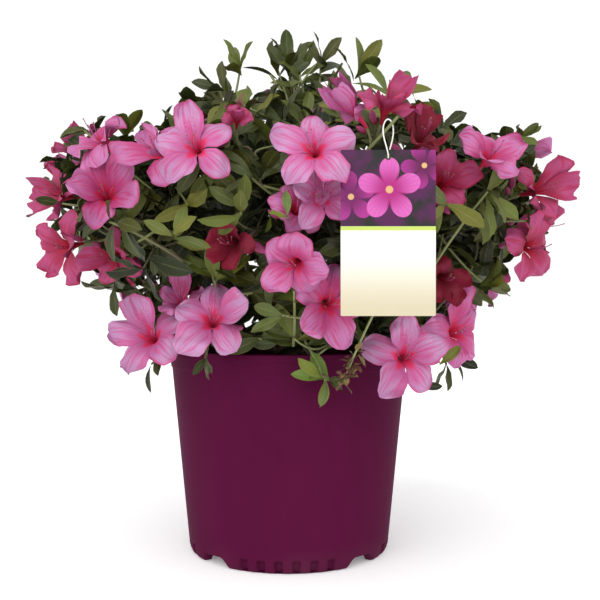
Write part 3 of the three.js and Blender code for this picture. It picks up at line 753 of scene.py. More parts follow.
def petal_finish():
    """Silky petals: a red throat, a paler margin, fine veins, and spots on the upper petal."""
    f = Finish("azalea_petal", 0.62, Specular_IOR_Level=0.3)
    column, row, across, along, whole = f.tile()
    # The fourth row, near-black crimson, is painted shade for blooms deep in the crown.
    base = f.dealt(row, [(0.45, 0.118, 0.30), (0.42, 0.060, 0.200), (0.26, 0.010, 0.050),
                         (0.15, 0.003, 0.017)])
    pale = f.dealt(row, [(0.46, 0.240, 0.425), (0.46, 0.160, 0.35), (0.37, 0.055, 0.160),
                         (0.20, 0.005, 0.026)])
    throat = f.dealt(row, [(0.64, 0.034, 0.120), (0.60, 0.024, 0.090), (0.38, 0.007, 0.030),
                           (0.14, 0.003, 0.010)])
    hot = f.dealt(row, [(0.50, 0.040, 0.190), (0.44, 0.024, 0.130), (0.34, 0.008, 0.050),
                        (0.16, 0.003, 0.014)])
    aside = f.aside(across)
    wander = f.noise(whole, 26.0)
    blotch = f.calc("SUBTRACT", f.noise(whole, 9.0, 1.0), 0.5)
    shifted = f.calc("MULTIPLY_ADD", blotch, 0.5, along)
    colour = f.mix(f.step(shifted, 0.42, 0.80), base, pale)
    colour = f.over(colour, base, f.step(aside, 0.16, 0.0), f.step(along, 0.86, 0.50), 0.6)
    fan = f.calc("ADD", f.product(across, 7.0), f.product(wander, 0.9))
    line = f.calc("PINGPONG", fan, 0.5)
    colour = f.over(colour, throat, f.step(line, 0.20, 0.0), f.step(along, 0.96, 0.55), 0.32)
    flush = f.noise(f.stretched(whole, (46.0, 9.0, 1.0)), 1.0, 2.0)
    colour = f.over(colour, hot, f.step(flush, 0.46, 0.64), 0.62)
    reach = f.calc("ADD", along, f.product(aside, 0.30))
    deep = f.calc("ADD", reach, f.product(f.calc("SUBTRACT", wander, 0.5), 0.16))
    colour = f.mix(f.step(deep, 0.54, 0.40), colour, throat)
    spots = f.step(f.noise(whole, 130.0, 1.0), 0.54, 0.62)
    upper = f.calc("COMPARE", column, 2.0, 0.5)
    colour = f.over(colour, (0.40, 0.010, 0.10), spots, upper, f.step(along, 0.40, 0.50),
                    f.step(along, 0.80, 0.64), f.step(aside, 0.30, 0.14), 0.6)
    rim = f.calc("MAXIMUM", f.step(along, 0.88, 1.0), f.step(aside, 0.40, 0.5))
    rimmed = f.calc("GREATER_THAN", column, 1.5)
    colour = f.over(colour, hot, rim, rimmed, f.step(along, 0.55, 0.72), 0.7)
    f.bump(f.calc("SUBTRACT", wander, f.product(line, 0.8)), 0.3, 0.0008)
    return f.done(colour)


def twig_finish():
    """Twigs: brown and barky at their start, olive towards their tip."""
    f = Finish("azalea_twig", 0.6)
    _, row, _, along, whole = f.tile()
    # The darker rows also serve as painted shade for twigs inside the crown.
    old = f.dealt(row, [(0.075, 0.050, 0.030), (0.115, 0.085, 0.045), (0.150, 0.150, 0.060),
                        (0.240, 0.270, 0.100)])
    young = f.dealt(row, [(0.130, 0.115, 0.050), (0.210, 0.230, 0.085), (0.270, 0.310, 0.110),
                          (0.330, 0.390, 0.150)])
    grain = f.noise(f.stretched(whole, (60.0, 14.0, 1.0)), 2.0)
    share = f.calc("ADD", along, f.product(f.calc("SUBTRACT", grain, 0.5), 0.9))
    colour = f.mix(f.step(share, 0.05, 0.75), old, young)
    colour = f.over(colour, f.mix(0.5, colour, (0.05, 0.03, 0.02)), grain, 0.45)
    f.bump(grain, 0.4, 0.0006)
    return f.done(colour)


def bark_finish():
    f = Finish("azalea_bark", 0.85)
    place = f.object_place()
    grain = f.noise(f.stretched(place, (1.0, 1.0, 0.22)), 520.0, 6.0, 0.65)
    flakes = f.noise(place, 130.0, 3.0)
    colour = f.mix(f.step(grain, 0.35, 0.65), (0.050, 0.034, 0.023), (0.190, 0.135, 0.090))
    colour = f.over(colour, (0.230, 0.200, 0.140), f.step(flakes, 0.52, 0.68), 0.5)
    f.bump(grain, 0.8, 0.0012)
    return f.done(colour)


def pot_finish():
    """Moulded plum plastic: a satin skin with fine flow marks, scuffs, and a painted highlight at
    its foot.
    """
    f = Finish("plum_plastic", 0.5, Specular_IOR_Level=0.02)
    place = f.object_place()
    cloud = f.noise(place, 9.0, 2.0)
    flow = f.noise(f.stretched(place, (1.0, 1.0, 0.06)), 95.0, 4.0)
    skin = f.noise(place, 900.0, 2.0)
    scuffs = f.noise(f.stretched(place, (1.0, 1.0, 6.0)), 60.0, 5.0, 0.7)
    colour = f.mix(cloud, (0.062, 0.0038, 0.0255), (0.082, 0.0056, 0.0345))
    colour = f.over(colour, (0.100, 0.0085, 0.044), flow, 0.3)
    colour = f.over(colour, (0.20, 0.06, 0.13), f.step(scuffs, 0.66, 0.78), 0.35)
    # Painted highlight: the foot pales in cloudy patches over its lowest 30 mm, as if lit from the
    # floor below.
    height = f.add("SeparateXYZ", place).outputs[2]
    colour = f.over(colour, (0.16, 0.09, 0.10), f.step(height, 0.030, 0.0),
                    f.step(cloud, 0.35, 0.7), 0.12)
    f.bump(f.calc("ADD", skin, f.product(flow, 0.6)), 0.12, 0.0004)
    return f.done(colour, f.calc("ADD", 0.52, f.product(flow, 0.14)))


def soil_finish():
    f = Finish("potting_mix", 0.95)
    place = f.object_place()
    crumbs = f.noise(place, 260.0, 6.0, 0.7)
    damp = f.noise(place, 30.0, 2.0)
    colour = f.mix(f.step(crumbs, 0.35, 0.7), (0.012, 0.008, 0.006), (0.075, 0.050, 0.032))
    colour = f.over(colour, (0.020, 0.014, 0.010), damp, 0.5)
    f.bump(crumbs, 1.0, 0.003)
    return f.done(colour)


def chip_finish(name, dark, light):
    f = Finish(name, 0.9)
    grain = f.noise(f.stretched(f.object_place(), (1.0, 0.3, 1.0)), 700.0, 4.0)
    f.bump(grain, 0.7, 0.001)
    return f.done(f.mix(grain, dark, light))


def anther_finish():
    f = Finish("anther", 0.7)
    dust = f.noise(f.object_place(), 900.0, 2.0)
    return f.done(f.mix(dust, (0.10, 0.035, 0.030), (0.30, 0.16, 0.09)))


def string_finish():
    f = Finish("elastic_string", 0.65, Sheen_Weight=0.3)
    twist = f.add("SeparateXYZ", f.object_place()).outputs[2]
    line = f.calc("PINGPONG", f.product(twist, 900.0), 0.5)
    f.bump(line, 0.4, 0.0003)
    return f.done(f.mix(line, (0.72, 0.72, 0.69), (0.92, 0.92, 0.88)))


LEAF, PETAL, TWIG = leaf_finish(), petal_finish(), twig_finish()
BARK, ANTHER = bark_finish(), anther_finish()


# ---- The view, the floor and the lights ----

def set_the_view():
    camera = bpy.data.objects.new("camera", bpy.data.cameras.new("camera"))
    camera.data.lens = CAMERA_LENS
    camera.data.sensor_width = CAMERA_SENSOR
    camera.location = CAMERA_AT
    camera.rotation_euler = (math.radians(90), 0, 0)
    bpy.context.scene.collection.objects.link(camera)
    bpy.context.scene.camera = camera


def light_the_studio():
    scene = bpy.context.scene
    scene.view_settings.view_transform = "Standard"
    scene.world = bpy.data.worlds.new("studio")
    scene.world.use_nodes = True
    tree = scene.world.node_tree
    sky = tree.nodes["Background"]
    place = tree.nodes.new("ShaderNodeTexCoord")
    split = tree.nodes.new("ShaderNodeSeparateXYZ")
    glow = tree.nodes.new("ShaderNodeMapRange")
    glow.interpolation_type = "SMOOTHSTEP"
    for socket, value in zip(glow.inputs[1:5], (*GLOW_HEIGHTS, HORIZON_GLOW, CEILING_GLOW)):
        socket.default_value = value
    tree.links.new(place.outputs["Generated"], split.inputs[0])
    tree.links.new(split.outputs[2], glow.inputs[0])
    tree.links.new(glow.outputs[0], sky.inputs["Strength"])
    sky.inputs["Color"].default_value = (1.0, 1.0, 1.0, 1)
    for name, (swing, lift, softness, strength) in SUNS.items():
        lamp = bpy.data.lights.new(name, "SUN")
        lamp.angle = math.radians(softness)
        lamp.energy = strength
        light = bpy.data.objects.new(name, lamp)
        light.rotation_euler = Vector(facing(swing, lift)).to_track_quat("Z", "Y").to_euler()
        scene.collection.objects.link(light)


def lay_the_floor():
    bm = bmesh.new()
    bmesh.ops.create_grid(bm, x_segments=2, y_segments=2, size=FLOOR_SIZE / 2)
    floor = bpy.data.objects.new("floor", mesh_of(bm, "floor"))
    f = Finish("pale_floor", 0.8, Specular_IOR_Level=0.2)
    grain = f.noise(f.object_place(), 3.0)
    f.shader.inputs["Emission Color"].default_value = (1, 1, 1, 1)
    f.shader.inputs["Emission Strength"].default_value = FLOOR_GLOW
    floor.data.materials.append(f.done(f.mix(grain, (0.97, 0.97, 0.97), (0.99, 0.99, 0.99))))
    bpy.context.scene.collection.objects.link(floor)


set_the_view()
light_the_studio()
lay_the_floor()


# ---- The pot ----

def pot_radius_at(height):
    return between(FOOT_RADIUS, RIM_RADIUS, height / POT_HEIGHT)


def arc(centre, radius, first, last, count):
    """Points on an arc in the plane of radius and height, between two turns in degrees."""
    turns = [math.radians(between(first, last, i / (count - 1))) for i in range(count)]
    return [(centre[0] + radius * math.cos(turn), centre[1] + radius * math.sin(turn))
            for turn in turns]


def upright_run(low, high, inset, count):
    """Points up the pot's side, set in from its outer face."""
    heights = [between(low, high, i / (count - 1)) for i in range(count)]
    return [(pot_radius_at(height) + inset, height) for height in heights]


def pot_profile():
    """The section of the wall, from the pad's middle round the outside and back inside."""
    lip_bottom, band_bottom = POT_HEIGHT - LIP_HEIGHT, POT_HEIGHT - BAND_HEIGHT
    ring_inside = FOOT_RADIUS - FOOT_RING
    lip_out = RIM_RADIUS + LIP_PROUD
    under = [
        (0.0, 0.0), (PAD_RADIUS * 0.5, 0.0), (PAD_RADIUS, 0.0),
        (PAD_RADIUS + FLOOR_SLOPE, FLOOR_LIFT), (ring_inside - FLOOR_SLOPE * 3, FLOOR_LIFT),
        (ring_inside - FLOOR_SLOPE, FLOOR_LIFT), (ring_inside - FLOOR_SLOPE * 0.5, FLOOR_LIFT / 2),
        (ring_inside, 0.0),
    ]
    foot = arc((FOOT_RADIUS - FOOT_ROUNDING, FOOT_ROUNDING), FOOT_ROUNDING, -90, -3, FOOT_ROWS)
    side = upright_run(FOOT_ROUNDING * 1.3, FLUTE_HEIGHT, 0.0, FLUTED_ROWS)
    side += upright_run(FLUTE_HEIGHT * 1.2, band_bottom, 0.0, WALL_ROWS)
    band = upright_run(band_bottom + BAND_PROUD, lip_bottom - BAND_PROUD, BAND_PROUD, BAND_ROWS)
    lip = [(pot_radius_at(lip_bottom) + LIP_PROUD, lip_bottom)]
    rounding = POT_HEIGHT - EDGE_ROUNDING
    lip += arc((lip_out - EDGE_ROUNDING, rounding), EDGE_ROUNDING, 0, 90, LIP_ROWS)
    lip += arc((RIM_RADIUS - WALL + 2 * EDGE_ROUNDING, rounding), EDGE_ROUNDING, 90, 180,
               LIP_ROWS)
    inside = [(pot_radius_at(height) - WALL, height) for height in
              (lip_bottom, band_bottom, POT_HEIGHT * 0.6, FLOOR_LIFT + WALL)]
    return [*under, *foot, *side, *band, *lip, *inside, (0.0, FLOOR_LIFT + WALL)]


def spun(profile, steps):
    """A profile of radius and height spun once round the Z axis."""
    bm = bmesh.new()
    row = [bm.verts.new((radius, 0, height)) for radius, height in profile]
    edges = [bm.edges.new(pair) for pair in zip(row, row[1:])]
    bmesh.ops.spin(bm, geom=row + edges, cent=(0, 0, 0), axis=(0, 0, 1),
                   angle=2 * math.pi, steps=steps, use_merge=True)
    bmesh.ops.remove_doubles(bm, verts=bm.verts[:], dist=1e-6)
    bmesh.ops.recalc_face_normals(bm, faces=bm.faces[:])
    return bm


def arch_height(turn):
    """The height of the nearest drain arch at a turn about the pot's axis."""
    quarter = 2 * math.pi / NOTCHES
    off = math.remainder(turn - quarter / 2, quarter)
    aside = abs(off) * FOOT_RADIUS
    share = 1 - smooth(aside, NOTCH_TOP_WIDTH / 2, NOTCH_WIDTH / 2)
    return NOTCH_HEIGHT * float(share) ** ARCH_ROUNDNESS


def flute_depth(turn, height):
    """How far a flute cuts into the foot at a turn and a height."""
    quarter = 2 * math.pi / NOTCHES
    off = math.remainder(turn, quarter)
    place = off / FLUTE_STEP + (FLUTES_PER_FOOT - 1) / 2
    nearest = min(max(round(place), 0), FLUTES_PER_FOOT - 1)
    aside = abs(place - nearest) * FLUTE_STEP * FOOT_RADIUS
    groove = 1 - smooth(aside, FLUTE_WIDTH * FLUTE_FLAT_SHARE, FLUTE_WIDTH / 2)
    below = 1 - smooth(height, FLUTE_HEIGHT * FLUTE_FULL_SHARE, FLUTE_HEIGHT)
    return FLUTE_DEPTH * float(groove * below)


def make_pot():
    bm = spun(pot_profile(), POT_STEPS)
    for vertex in bm.verts:
        radius = math.hypot(vertex.co.x, vertex.co.y)
        if radius < PAD_RADIUS + 2 * FLOOR_SLOPE or vertex.co.z > FLUTE_HEIGHT:
            continue
        turn = math.atan2(vertex.co.y, vertex.co.x)
        if radius > FOOT_RADIUS - WALL:
            inner = (radius - flute_depth(turn, vertex.co.z)) / radius
            vertex.co.x *= inner
            vertex.co.y *= inner
        if vertex.co.z < FLOOR_LIFT:
            vertex.co.z = between(arch_height(turn), FLOOR_LIFT, vertex.co.z / FLOOR_LIFT)
    pot = finished_piece("nursery_pot", mesh_of(bm, "nursery_pot"), [pot_finish()], ["pot"], "pot")
    sharpened(pot, POT_CREASE)


def make_potting_mix():
    """The mix fills the pot to its fill line, crumbly on top and strewn with bark chips."""
    bottom = FLOOR_LIFT + WALL + GAP
    edge = pot_radius_at(SOIL_TOP) - WALL - SOIL_CLEARANCE
    top = [(edge * (1 - i / SOIL_RINGS), SOIL_TOP) for i in range(SOIL_RINGS + 1)]
    floor = [(0.0, bottom), (pot_radius_at(bottom) - WALL - SOIL_CLEARANCE, bottom)]
    bm = spun([*floor, *top], SOIL_STEPS)
    for vertex in bm.verts:
        if vertex.co.z > SOIL_TOP - GAP:
            spot = vertex.co * LUMPS_PER_METRE
            lump = noise.noise(spot) + 0.5 * noise.noise(spot * 3)
            vertex.co.z += SOIL_LUMPS * (lump - LUMP_LEVEL)
    mix = mesh_of(bm, "potting_mix_fill")
    finished_piece("potting_mix_fill", mix, [soil_finish()], ["potting_mix"], "potting_mix")
    bm = bmesh.new()
    bmesh.ops.create_cube(bm, size=1)
    bmesh.ops.bevel(bm, geom=bm.edges[:], offset=0.12, affect="EDGES", segments=1,
                    profile=0.5, material=-1)
    chip = plain_template(bm)
    random = seeded(CHIP_SEED)
    pile = Pile()
    for i in range(CHIP_COUNT):
        radius = (edge - CHIP_MARGIN) * math.sqrt((i + 0.5) / CHIP_COUNT)
        turn = i * GOLDEN_TURN + next(random)
        at = np.array((math.cos(turn) * radius, math.sin(turn) * radius, SOIL_TOP - CHIP_SINK))
        long = between(*CHIP_LENGTHS, next(random) ** 2)
        wide = long * between(*CHIP_WIDTH_SHARES, next(random))
        size = np.array((wide, long, long * CHIP_THICKNESS_SHARE))
        lean = facing(360 * next(random), between(-CHIP_LEAN, CHIP_LEAN, next(random)))
        upward = unit(np.array((next(random) - 0.5, next(random) - 0.5, 1.6)))
        shaped = chip._replace(corners=chip.corners * size)
        pile.add(shaped, placed(shaped, at, lean, upward), look=i % 3)
    pile.piece(
        "bark_chips",
        chip_finish("bark_chip_dark", (0.030, 0.018, 0.012), (0.080, 0.045, 0.028)),
        chip_finish("bark_chip_brown", (0.080, 0.045, 0.025), (0.170, 0.100, 0.055)),
        chip_finish("bark_chip_pale", (0.150, 0.105, 0.065), (0.260, 0.190, 0.120)),
        slot="potting_mix",
    )


make_pot()
make_potting_mix()


# ---- The crown's outline, and places on it, by the source's rule ----

def reach_at(height):
    return np.interp(height, OUTLINE_HEIGHTS, OUTLINE_REACHES)


def crown_point(turn, height, reach):
    return np.array((
        CROWN_AXIS + math.sin(turn) * reach,
        -math.cos(turn) * reach * CROWN_DEPTH_SHARE,
        height,
    ))


def crown_outward(turn, height):
    rise = float(reach_at(height - SLOPE_STEP) - reach_at(height + SLOPE_STEP))
    lift = min(max(rise / (2 * SLOPE_STEP), STEEPEST_DOWN), STEEPEST_UP)
    return unit(np.array((math.sin(turn), -math.cos(turn), lift)))


def in_crown(points, slack=OUTLINE_SLACK):
    reach = np.hypot(points[:, 0] - CROWN_AXIS, points[:, 1] / CROWN_DEPTH_SHARE)
    return bool(((points[:, 2] < CROWN_TOP) & (reach < reach_at(points[:, 2]) + slack)).all())


def in_pot(points):
    out = np.hypot(points[:, 0], points[:, 1])
    near = (out < RIM_RADIUS + LIP_PROUD + KEEP_CLEAR) & (points[:, 2] < POT_HEIGHT + KEEP_CLEAR)
    return bool(near.any())


def spiral_places(count, first_turn=0.0):
    """An even spiral over the whole outline, as turns and heights."""
    step = 0.001
    heights = np.arange(CROWN_BOTTOM + LEAF_INSET / 2, CROWN_TOP, step)
    slopes = (reach_at(heights + step) - reach_at(heights)) / step
    areas = np.cumsum(reach_at(heights) * np.hypot(1, slopes))
    for i in range(count):
        ring = np.searchsorted(areas, (i + 0.5) / count * areas[-1])
        yield i, first_turn + i * GOLDEN_TURN, heights[ring]


# ---- The trunk and boughs ----

TRUNK_POINTS = [
    (0.002, 0, SOIL_TOP - TRUNK_CUT),
    (0.005, 0.002, between(SOIL_TOP, TRUNK_TOP, 0.35)),
    (0.009, -0.001, between(SOIL_TOP, TRUNK_TOP, 0.7)),
    (CROWN_AXIS, 0, TRUNK_TOP),
]
TRUNK_PATH = rounded_path(TRUNK_POINTS, TRUNK_STEPS + 1)


def trunk_radius_at(share):
    height = share * (TRUNK_TOP - SOIL_TOP + TRUNK_CUT) - TRUNK_CUT
    flare = max(0, 1 - height / FLARE_HEIGHT) ** 2 * (FLARE_RADIUS - TRUNK_RADIUS)
    return between(TRUNK_RADIUS, TRUNK_TIP_RADIUS, share) + flare


Mass = namedtuple("Mass", "name tier middle tip bough radius")


def mass_plans():
    """Every foliage mass with its middle and the bough that carries it."""
    plans = []
    for tier, plan in TIERS.items():
        for i in range(plan["count"]):
            turn = math.radians(plan["first"] + i * 360 / plan["count"])
            level = plan["fork"] + (i % 2) * BOUGH_LEVEL_STEP
            share = (level - SOIL_TOP + TRUNK_CUT) / (TRUNK_TOP - SOIL_TOP + TRUNK_CUT)
            fork = TRUNK_PATH[round(share * TRUNK_STEPS)]
            middle = crown_point(turn, plan["height"], plan["out"])
            steepness = unit(middle - fork)[2]
            room = trunk_radius_at(share) + 2 * GAP + plan["radius"] * steepness
            start = fork + np.array((math.sin(turn), -math.cos(turn), 0)) * room
            tip = between(start, middle, BOUGH_TIP_SHARE)
            bend = between(start, tip, 0.5) - np.array((0, 0, BOUGH_SAG))
            bough = np.concatenate(([fork], rounded_path([start, bend, tip], BOUGH_POINTS)))
            plans.append(Mass(f"{tier}_{i + 1}", tier, middle, tip, bough, plan["radius"]))
    top = np.array((CROWN_AXIS, 0, TOP_MASS_HEIGHT))
    plans.append(Mass("top", "top", top, TRUNK_PATH[-1], None, None))
    return plans


PLANS = mass_plans()
MIDDLES = np.array([plan.middle for plan in PLANS])


def barky(template, corners, path, seed):
    """Roughens a limb with ridges that run along it."""
    centre = read_along(path, template.corners[:, 2])
    rough = np.empty(len(corners))
    for i, (x, y, z) in enumerate(template.corners):
        around = Vector((x * BARK_AROUND + seed, y * BARK_AROUND, z * BARK_ALONG))
        rough[i] = noise.noise(around) + BARK_GRAIN_SHARE * noise.noise(around * BARK_GRAIN)
    return centre + (corners - centre) * (1 + BARK_RELIEF * rough[:, None])


def make_trunk_and_boughs():
    pile = Pile()
    limb = round_template(*TRUNK_GRID)
    radii = [trunk_radius_at(share) for share in np.linspace(0, 1, len(TRUNK_PATH))]
    corners = swept(limb, TRUNK_PATH, radii)
    pile.add(limb, barky(limb, corners, TRUNK_PATH, 1))
    limb = round_template(*BOUGH_GRID)
    for i, plan in enumerate(PLANS):
        if plan.bough is None:
            continue
        radii = np.linspace(plan.radius * BOUGH_SWELL, BOUGH_TIP_RADIUS, len(plan.bough))
        corners = swept(limb, plan.bough, radii)
        pile.add(limb, barky(limb, corners, plan.bough, 10 + i))
    limbs = [name for name in NODES if name == "stem" or name.startswith("bough_")]
    pile.piece("trunk_and_boughs", BARK, nodes=limbs, slot="bark")


make_trunk_and_boughs()


# ---- Blooms ----

Bloom = namedtuple("Bloom", "at way tone opening size seed mass")


def nearest_mass(point):
    return int(np.argmin(((MIDDLES - point) ** 2).sum(1)))


def bloom_places():
    """Every bloom's base and the way it faces, on the front and turned half round."""
    blooms = []

    def add(turn, height, inset, way, looks, seed):
        at = crown_point(turn, height, float(reach_at(height)) - inset)
        blooms.append(Bloom(at - way * BLOOM_SINK, way, *looks, seed, nearest_mass(at)))

    for i, (across, height, inset, swing, lift, *looks) in enumerate(BLOOMS):
        share = (across - CROWN_AXIS) / (float(reach_at(height)) - inset)
        front = math.asin(min(max(share, -1), 1))
        for back in (0, 1):
            way = facing(swing + back * 180, lift)
            add(front + back * math.pi, height, inset, way, looks, 2 * i + back + 1)
    for i, (bearing, height, inset, lift, *looks) in enumerate(SIDE_BLOOMS):
        add(math.radians(bearing), height, inset, facing(bearing, lift), looks,
            SIDE_BLOOM_SEED + i)
    return blooms


ALL_BLOOMS = bloom_places()
BLOOM_BASES = np.array([bloom.at for bloom in ALL_BLOOMS])
BLOOM_WAYS = np.array([bloom.way for bloom in ALL_BLOOMS])
# The pale blooms of the first rows keep their front free; leaves may stand before the others.
OPEN_BLOOMS = np.array([bloom.tone < 2 and bloom.seed <= 2 * CORE_BLOOMS for bloom in ALL_BLOOMS])
# The crimson blooms' near-black colour is painted shade deep in the crown.
DEEP_BLOOMS = np.array([bloom.tone == 3 for bloom in ALL_BLOOMS])


def before_a_bloom(points, near_only=False):
    """True if a point stands in the free front of a bloom, or close before any bloom."""
    off = points[:, None, :] - BLOOM_BASES
    deep = (off * BLOOM_WAYS).sum(2)
    aside = np.sqrt(np.maximum((off * off).sum(2) - deep * deep, 0))
    depth = np.where(DEEP_BLOOMS, DEEP_FRONT, HIDDEN_FRONT)
    if not near_only:
        depth = np.where(OPEN_BLOOMS, FREE_FRONT, depth)
    wedge = deep > FRONT_SLOPE * aside - FRONT_START
    inside = wedge & (deep < depth) & (aside < BLOOM_RADIUS)
    return bool(inside.any())


def nearest_bloom(point):
    return np.linalg.norm(BLOOM_BASES - point, axis=1).min()


# The section of a petal from the tube's base to the tip, as distance from the bloom's axis and
# along it, fully closed and fully open.
CLOSED_SECTION = [(0.0016, 0.0), (0.0030, 0.022), (0.0085, 0.038), (0.0030, 0.054)]
OPEN_SECTION = [(0.0016, 0.0), (0.0034, 0.024), (0.0180, 0.036), (0.0450, 0.037)]
SECTION_POINTS = 60
TUBE_SHARE = 0.44
SPLIT_SHARES = (0.40, 0.57)
RUFFLED_FROM = 0.50
WIDEST_SHARE = 0.50
NECK_SHARE = 0.95
TIP_SHARE = 0.10
OVERLAP = 1.10
MARGIN_DEPTH = 0.10
ROUND_END = 1.9
ROWS_TO_TIP = 1.35
RIB_DEPTH = 0.0012
RIB_SHARPNESS = 5
FOLD_POWER = 1.6
CUPPING = 0.10
# A petal's waves, as turns along it, across it, and with its phase.
MARGIN_WAVES = (16, 2, 2)
BROAD_WAVES = (9, 3.4, 1)
FINE_WAVES = (17, 3, 3)
FINE_WAVES_SHARE = 0.65


def petal_width(share):
    """A petal's width past the tube as a share of its widest."""
    past = max(share - TUBE_SHARE, 0) / (1 - TUBE_SHARE)
    if past < WIDEST_SHARE:
        return between(NECK_SHARE, 1.0, float(smooth(past, 0.0, WIDEST_SHARE)))
    narrowing = ((past - WIDEST_SHARE) / (1 - WIDEST_SHARE)) ** ROUND_END
    return max(math.sqrt(max(1 - narrowing, 0)), TIP_SHARE)


def wave_at(turns, along, across, phase):
    """How high a petal's waves stand at a place, from -1 to 1."""
    return math.sin(along * turns[0] + across * turns[1] + phase * turns[2])


def petal_template(opening, reach, recurve, fold, twist, ruffle, breadth, phase):
    """One petal with its fifth of the tube. The bloom faces +Y and the petal spreads to +Z."""
    bm = grid_sheet(*PETAL_GRID)
    section = [between(np.array(closed), np.array(opened), opening)
               for closed, opened in zip(CLOSED_SECTION, OPEN_SECTION)]
    section[3] = section[3] * (reach, 1) + (0, -recurve)
    curve = bezier(section, np.linspace(0, 1, SECTION_POINTS))
    lengths = np.concatenate(([0], np.cumsum(np.linalg.norm(np.diff(curve, axis=0), axis=1))))
    layer = bm.loops.layers.uv.active
    for vertex in bm.verts:
        vertex.co.y = 1 - (1 - vertex.co.y) ** ROWS_TO_TIP
    for face in bm.faces:
        for loop in face.loops:
            loop[layer].uv = (loop[layer].uv[0], loop.vert.co.y)
    for vertex in bm.verts:
        across, share = vertex.co.x, vertex.co.y
        place = (share, across, phase)
        here = share * lengths[-1]
        radial = float(np.interp(here, lengths, curve[:, 0]))
        axial = float(np.interp(here, lengths, curve[:, 1]))
        freed = float(smooth(share, *SPLIT_SHARES))
        outer = float(smooth(share, RUFFLED_FROM, 1.0))
        sector = radial * math.tan(math.pi / PETALS) * OVERLAP
        half = between(sector, breadth * petal_width(share), freed)
        half *= 1 + MARGIN_DEPTH * outer * wave_at(MARGIN_WAVES, *place)
        turn = across * math.pi / PETALS
        bow = fold * abs(across) ** FOLD_POWER * half * freed
        wave = wave_at(BROAD_WAVES, *place) * abs(across)
        wave += FINE_WAVES_SHARE * wave_at(FINE_WAVES, *place) * across**2
        wave *= min(half / breadth, 1)
        rib = RIB_DEPTH * math.exp(-((across * RIB_SHARPNESS) ** 2)) * outer
        lean = twist * outer
        x = across * half
        vertex.co.x = between(radial * math.sin(turn), x * math.cos(lean), freed)
        vertex.co.z = between(radial * math.cos(turn), radial - CUPPING * abs(x) * outer, freed)
        vertex.co.y = axial + bow + ruffle * wave * outer - rib + x * math.sin(lean) * freed
    bmesh.ops.recalc_face_normals(bm, faces=bm.faces[:])
    return template_of(bm)


# The character of petals: reach, recurve, fold, twist, ruffle, breadth and phase.
PETAL_KINDS = [
    (1.00, 0.004, 0.12, 0.00, 0.0084, 0.0158, 0.0),
    (0.92, 0.017, -0.24, 0.36, 0.0094, 0.0150, 1.6),
    (1.04, -0.006, 0.44, -0.40, 0.0078, 0.0148, 3.1),
    (0.95, 0.025, -0.40, 0.16, 0.0090, 0.0142, 4.4),
    (0.84, -0.014, 0.62, 0.46, 0.0092, 0.0158, 5.3),
    (1.08, 0.009, 0.05, -0.26, 0.0100, 0.0150, 2.3),
    (0.96, 0.030, -0.20, -0.50, 0.0086, 0.0148, 0.8),
]
OPENINGS = {WIDE: 0.96, BOWL: 0.78, FUNNEL: 0.54, BUD: 0.16}
# The upper petal first, then the side ones and the lower two, as turns from the upper one.
PETAL_TURNS = [math.radians(turn) for turn in (0, 69, 142, -142, -69)]
PETAL_SHAPES = {stage: [petal_template(opening, *kind) for kind in PETAL_KINDS]
                for stage, opening in OPENINGS.items()}


def fan_of(bloom):
    """The directions of a bloom's upper petal and of its side, square to its axis."""
    upward = (0, 0, 1) if abs(bloom.way[2]) < STEEP_BLOOM else (0, 1, 0)
    side = unit(np.cross(bloom.way, upward))
    return unit(np.cross(side, bloom.way)), side


def bud_template():
    """A closed bud from 0 to 1 along Y, its petals wound round each other."""
    bm = bmesh.new()
    around, rings = BUD_GRID
    bmesh.ops.create_uvsphere(bm, u_segments=around, v_segments=rings, radius=0.5)
    for vertex in bm.verts:
        share = vertex.co.z + 0.5
        turn = math.atan2(vertex.co.y, vertex.co.x) + BUD_WIND * share
        radius = math.hypot(vertex.co.x, vertex.co.y) * between(*BUD_TAPER, share)
        radius *= 1 + BUD_FOLDS * math.cos(turn * PETALS)
        vertex.co = (radius * math.cos(turn), share, radius * math.sin(turn))
    bmesh.ops.recalc_face_normals(bm, faces=bm.faces[:])
    if bm.calc_volume(signed=True) < 0:
        bmesh.ops.reverse_faces(bm, faces=bm.faces[:])
    bud = template_of(bm)
    across, low, high = BUD_PLACE
    along = between(low, high, bud.corners[bud.faces.ravel(), 1])
    return bud._replace(map=np.stack([np.full(len(along), across), along], axis=1))


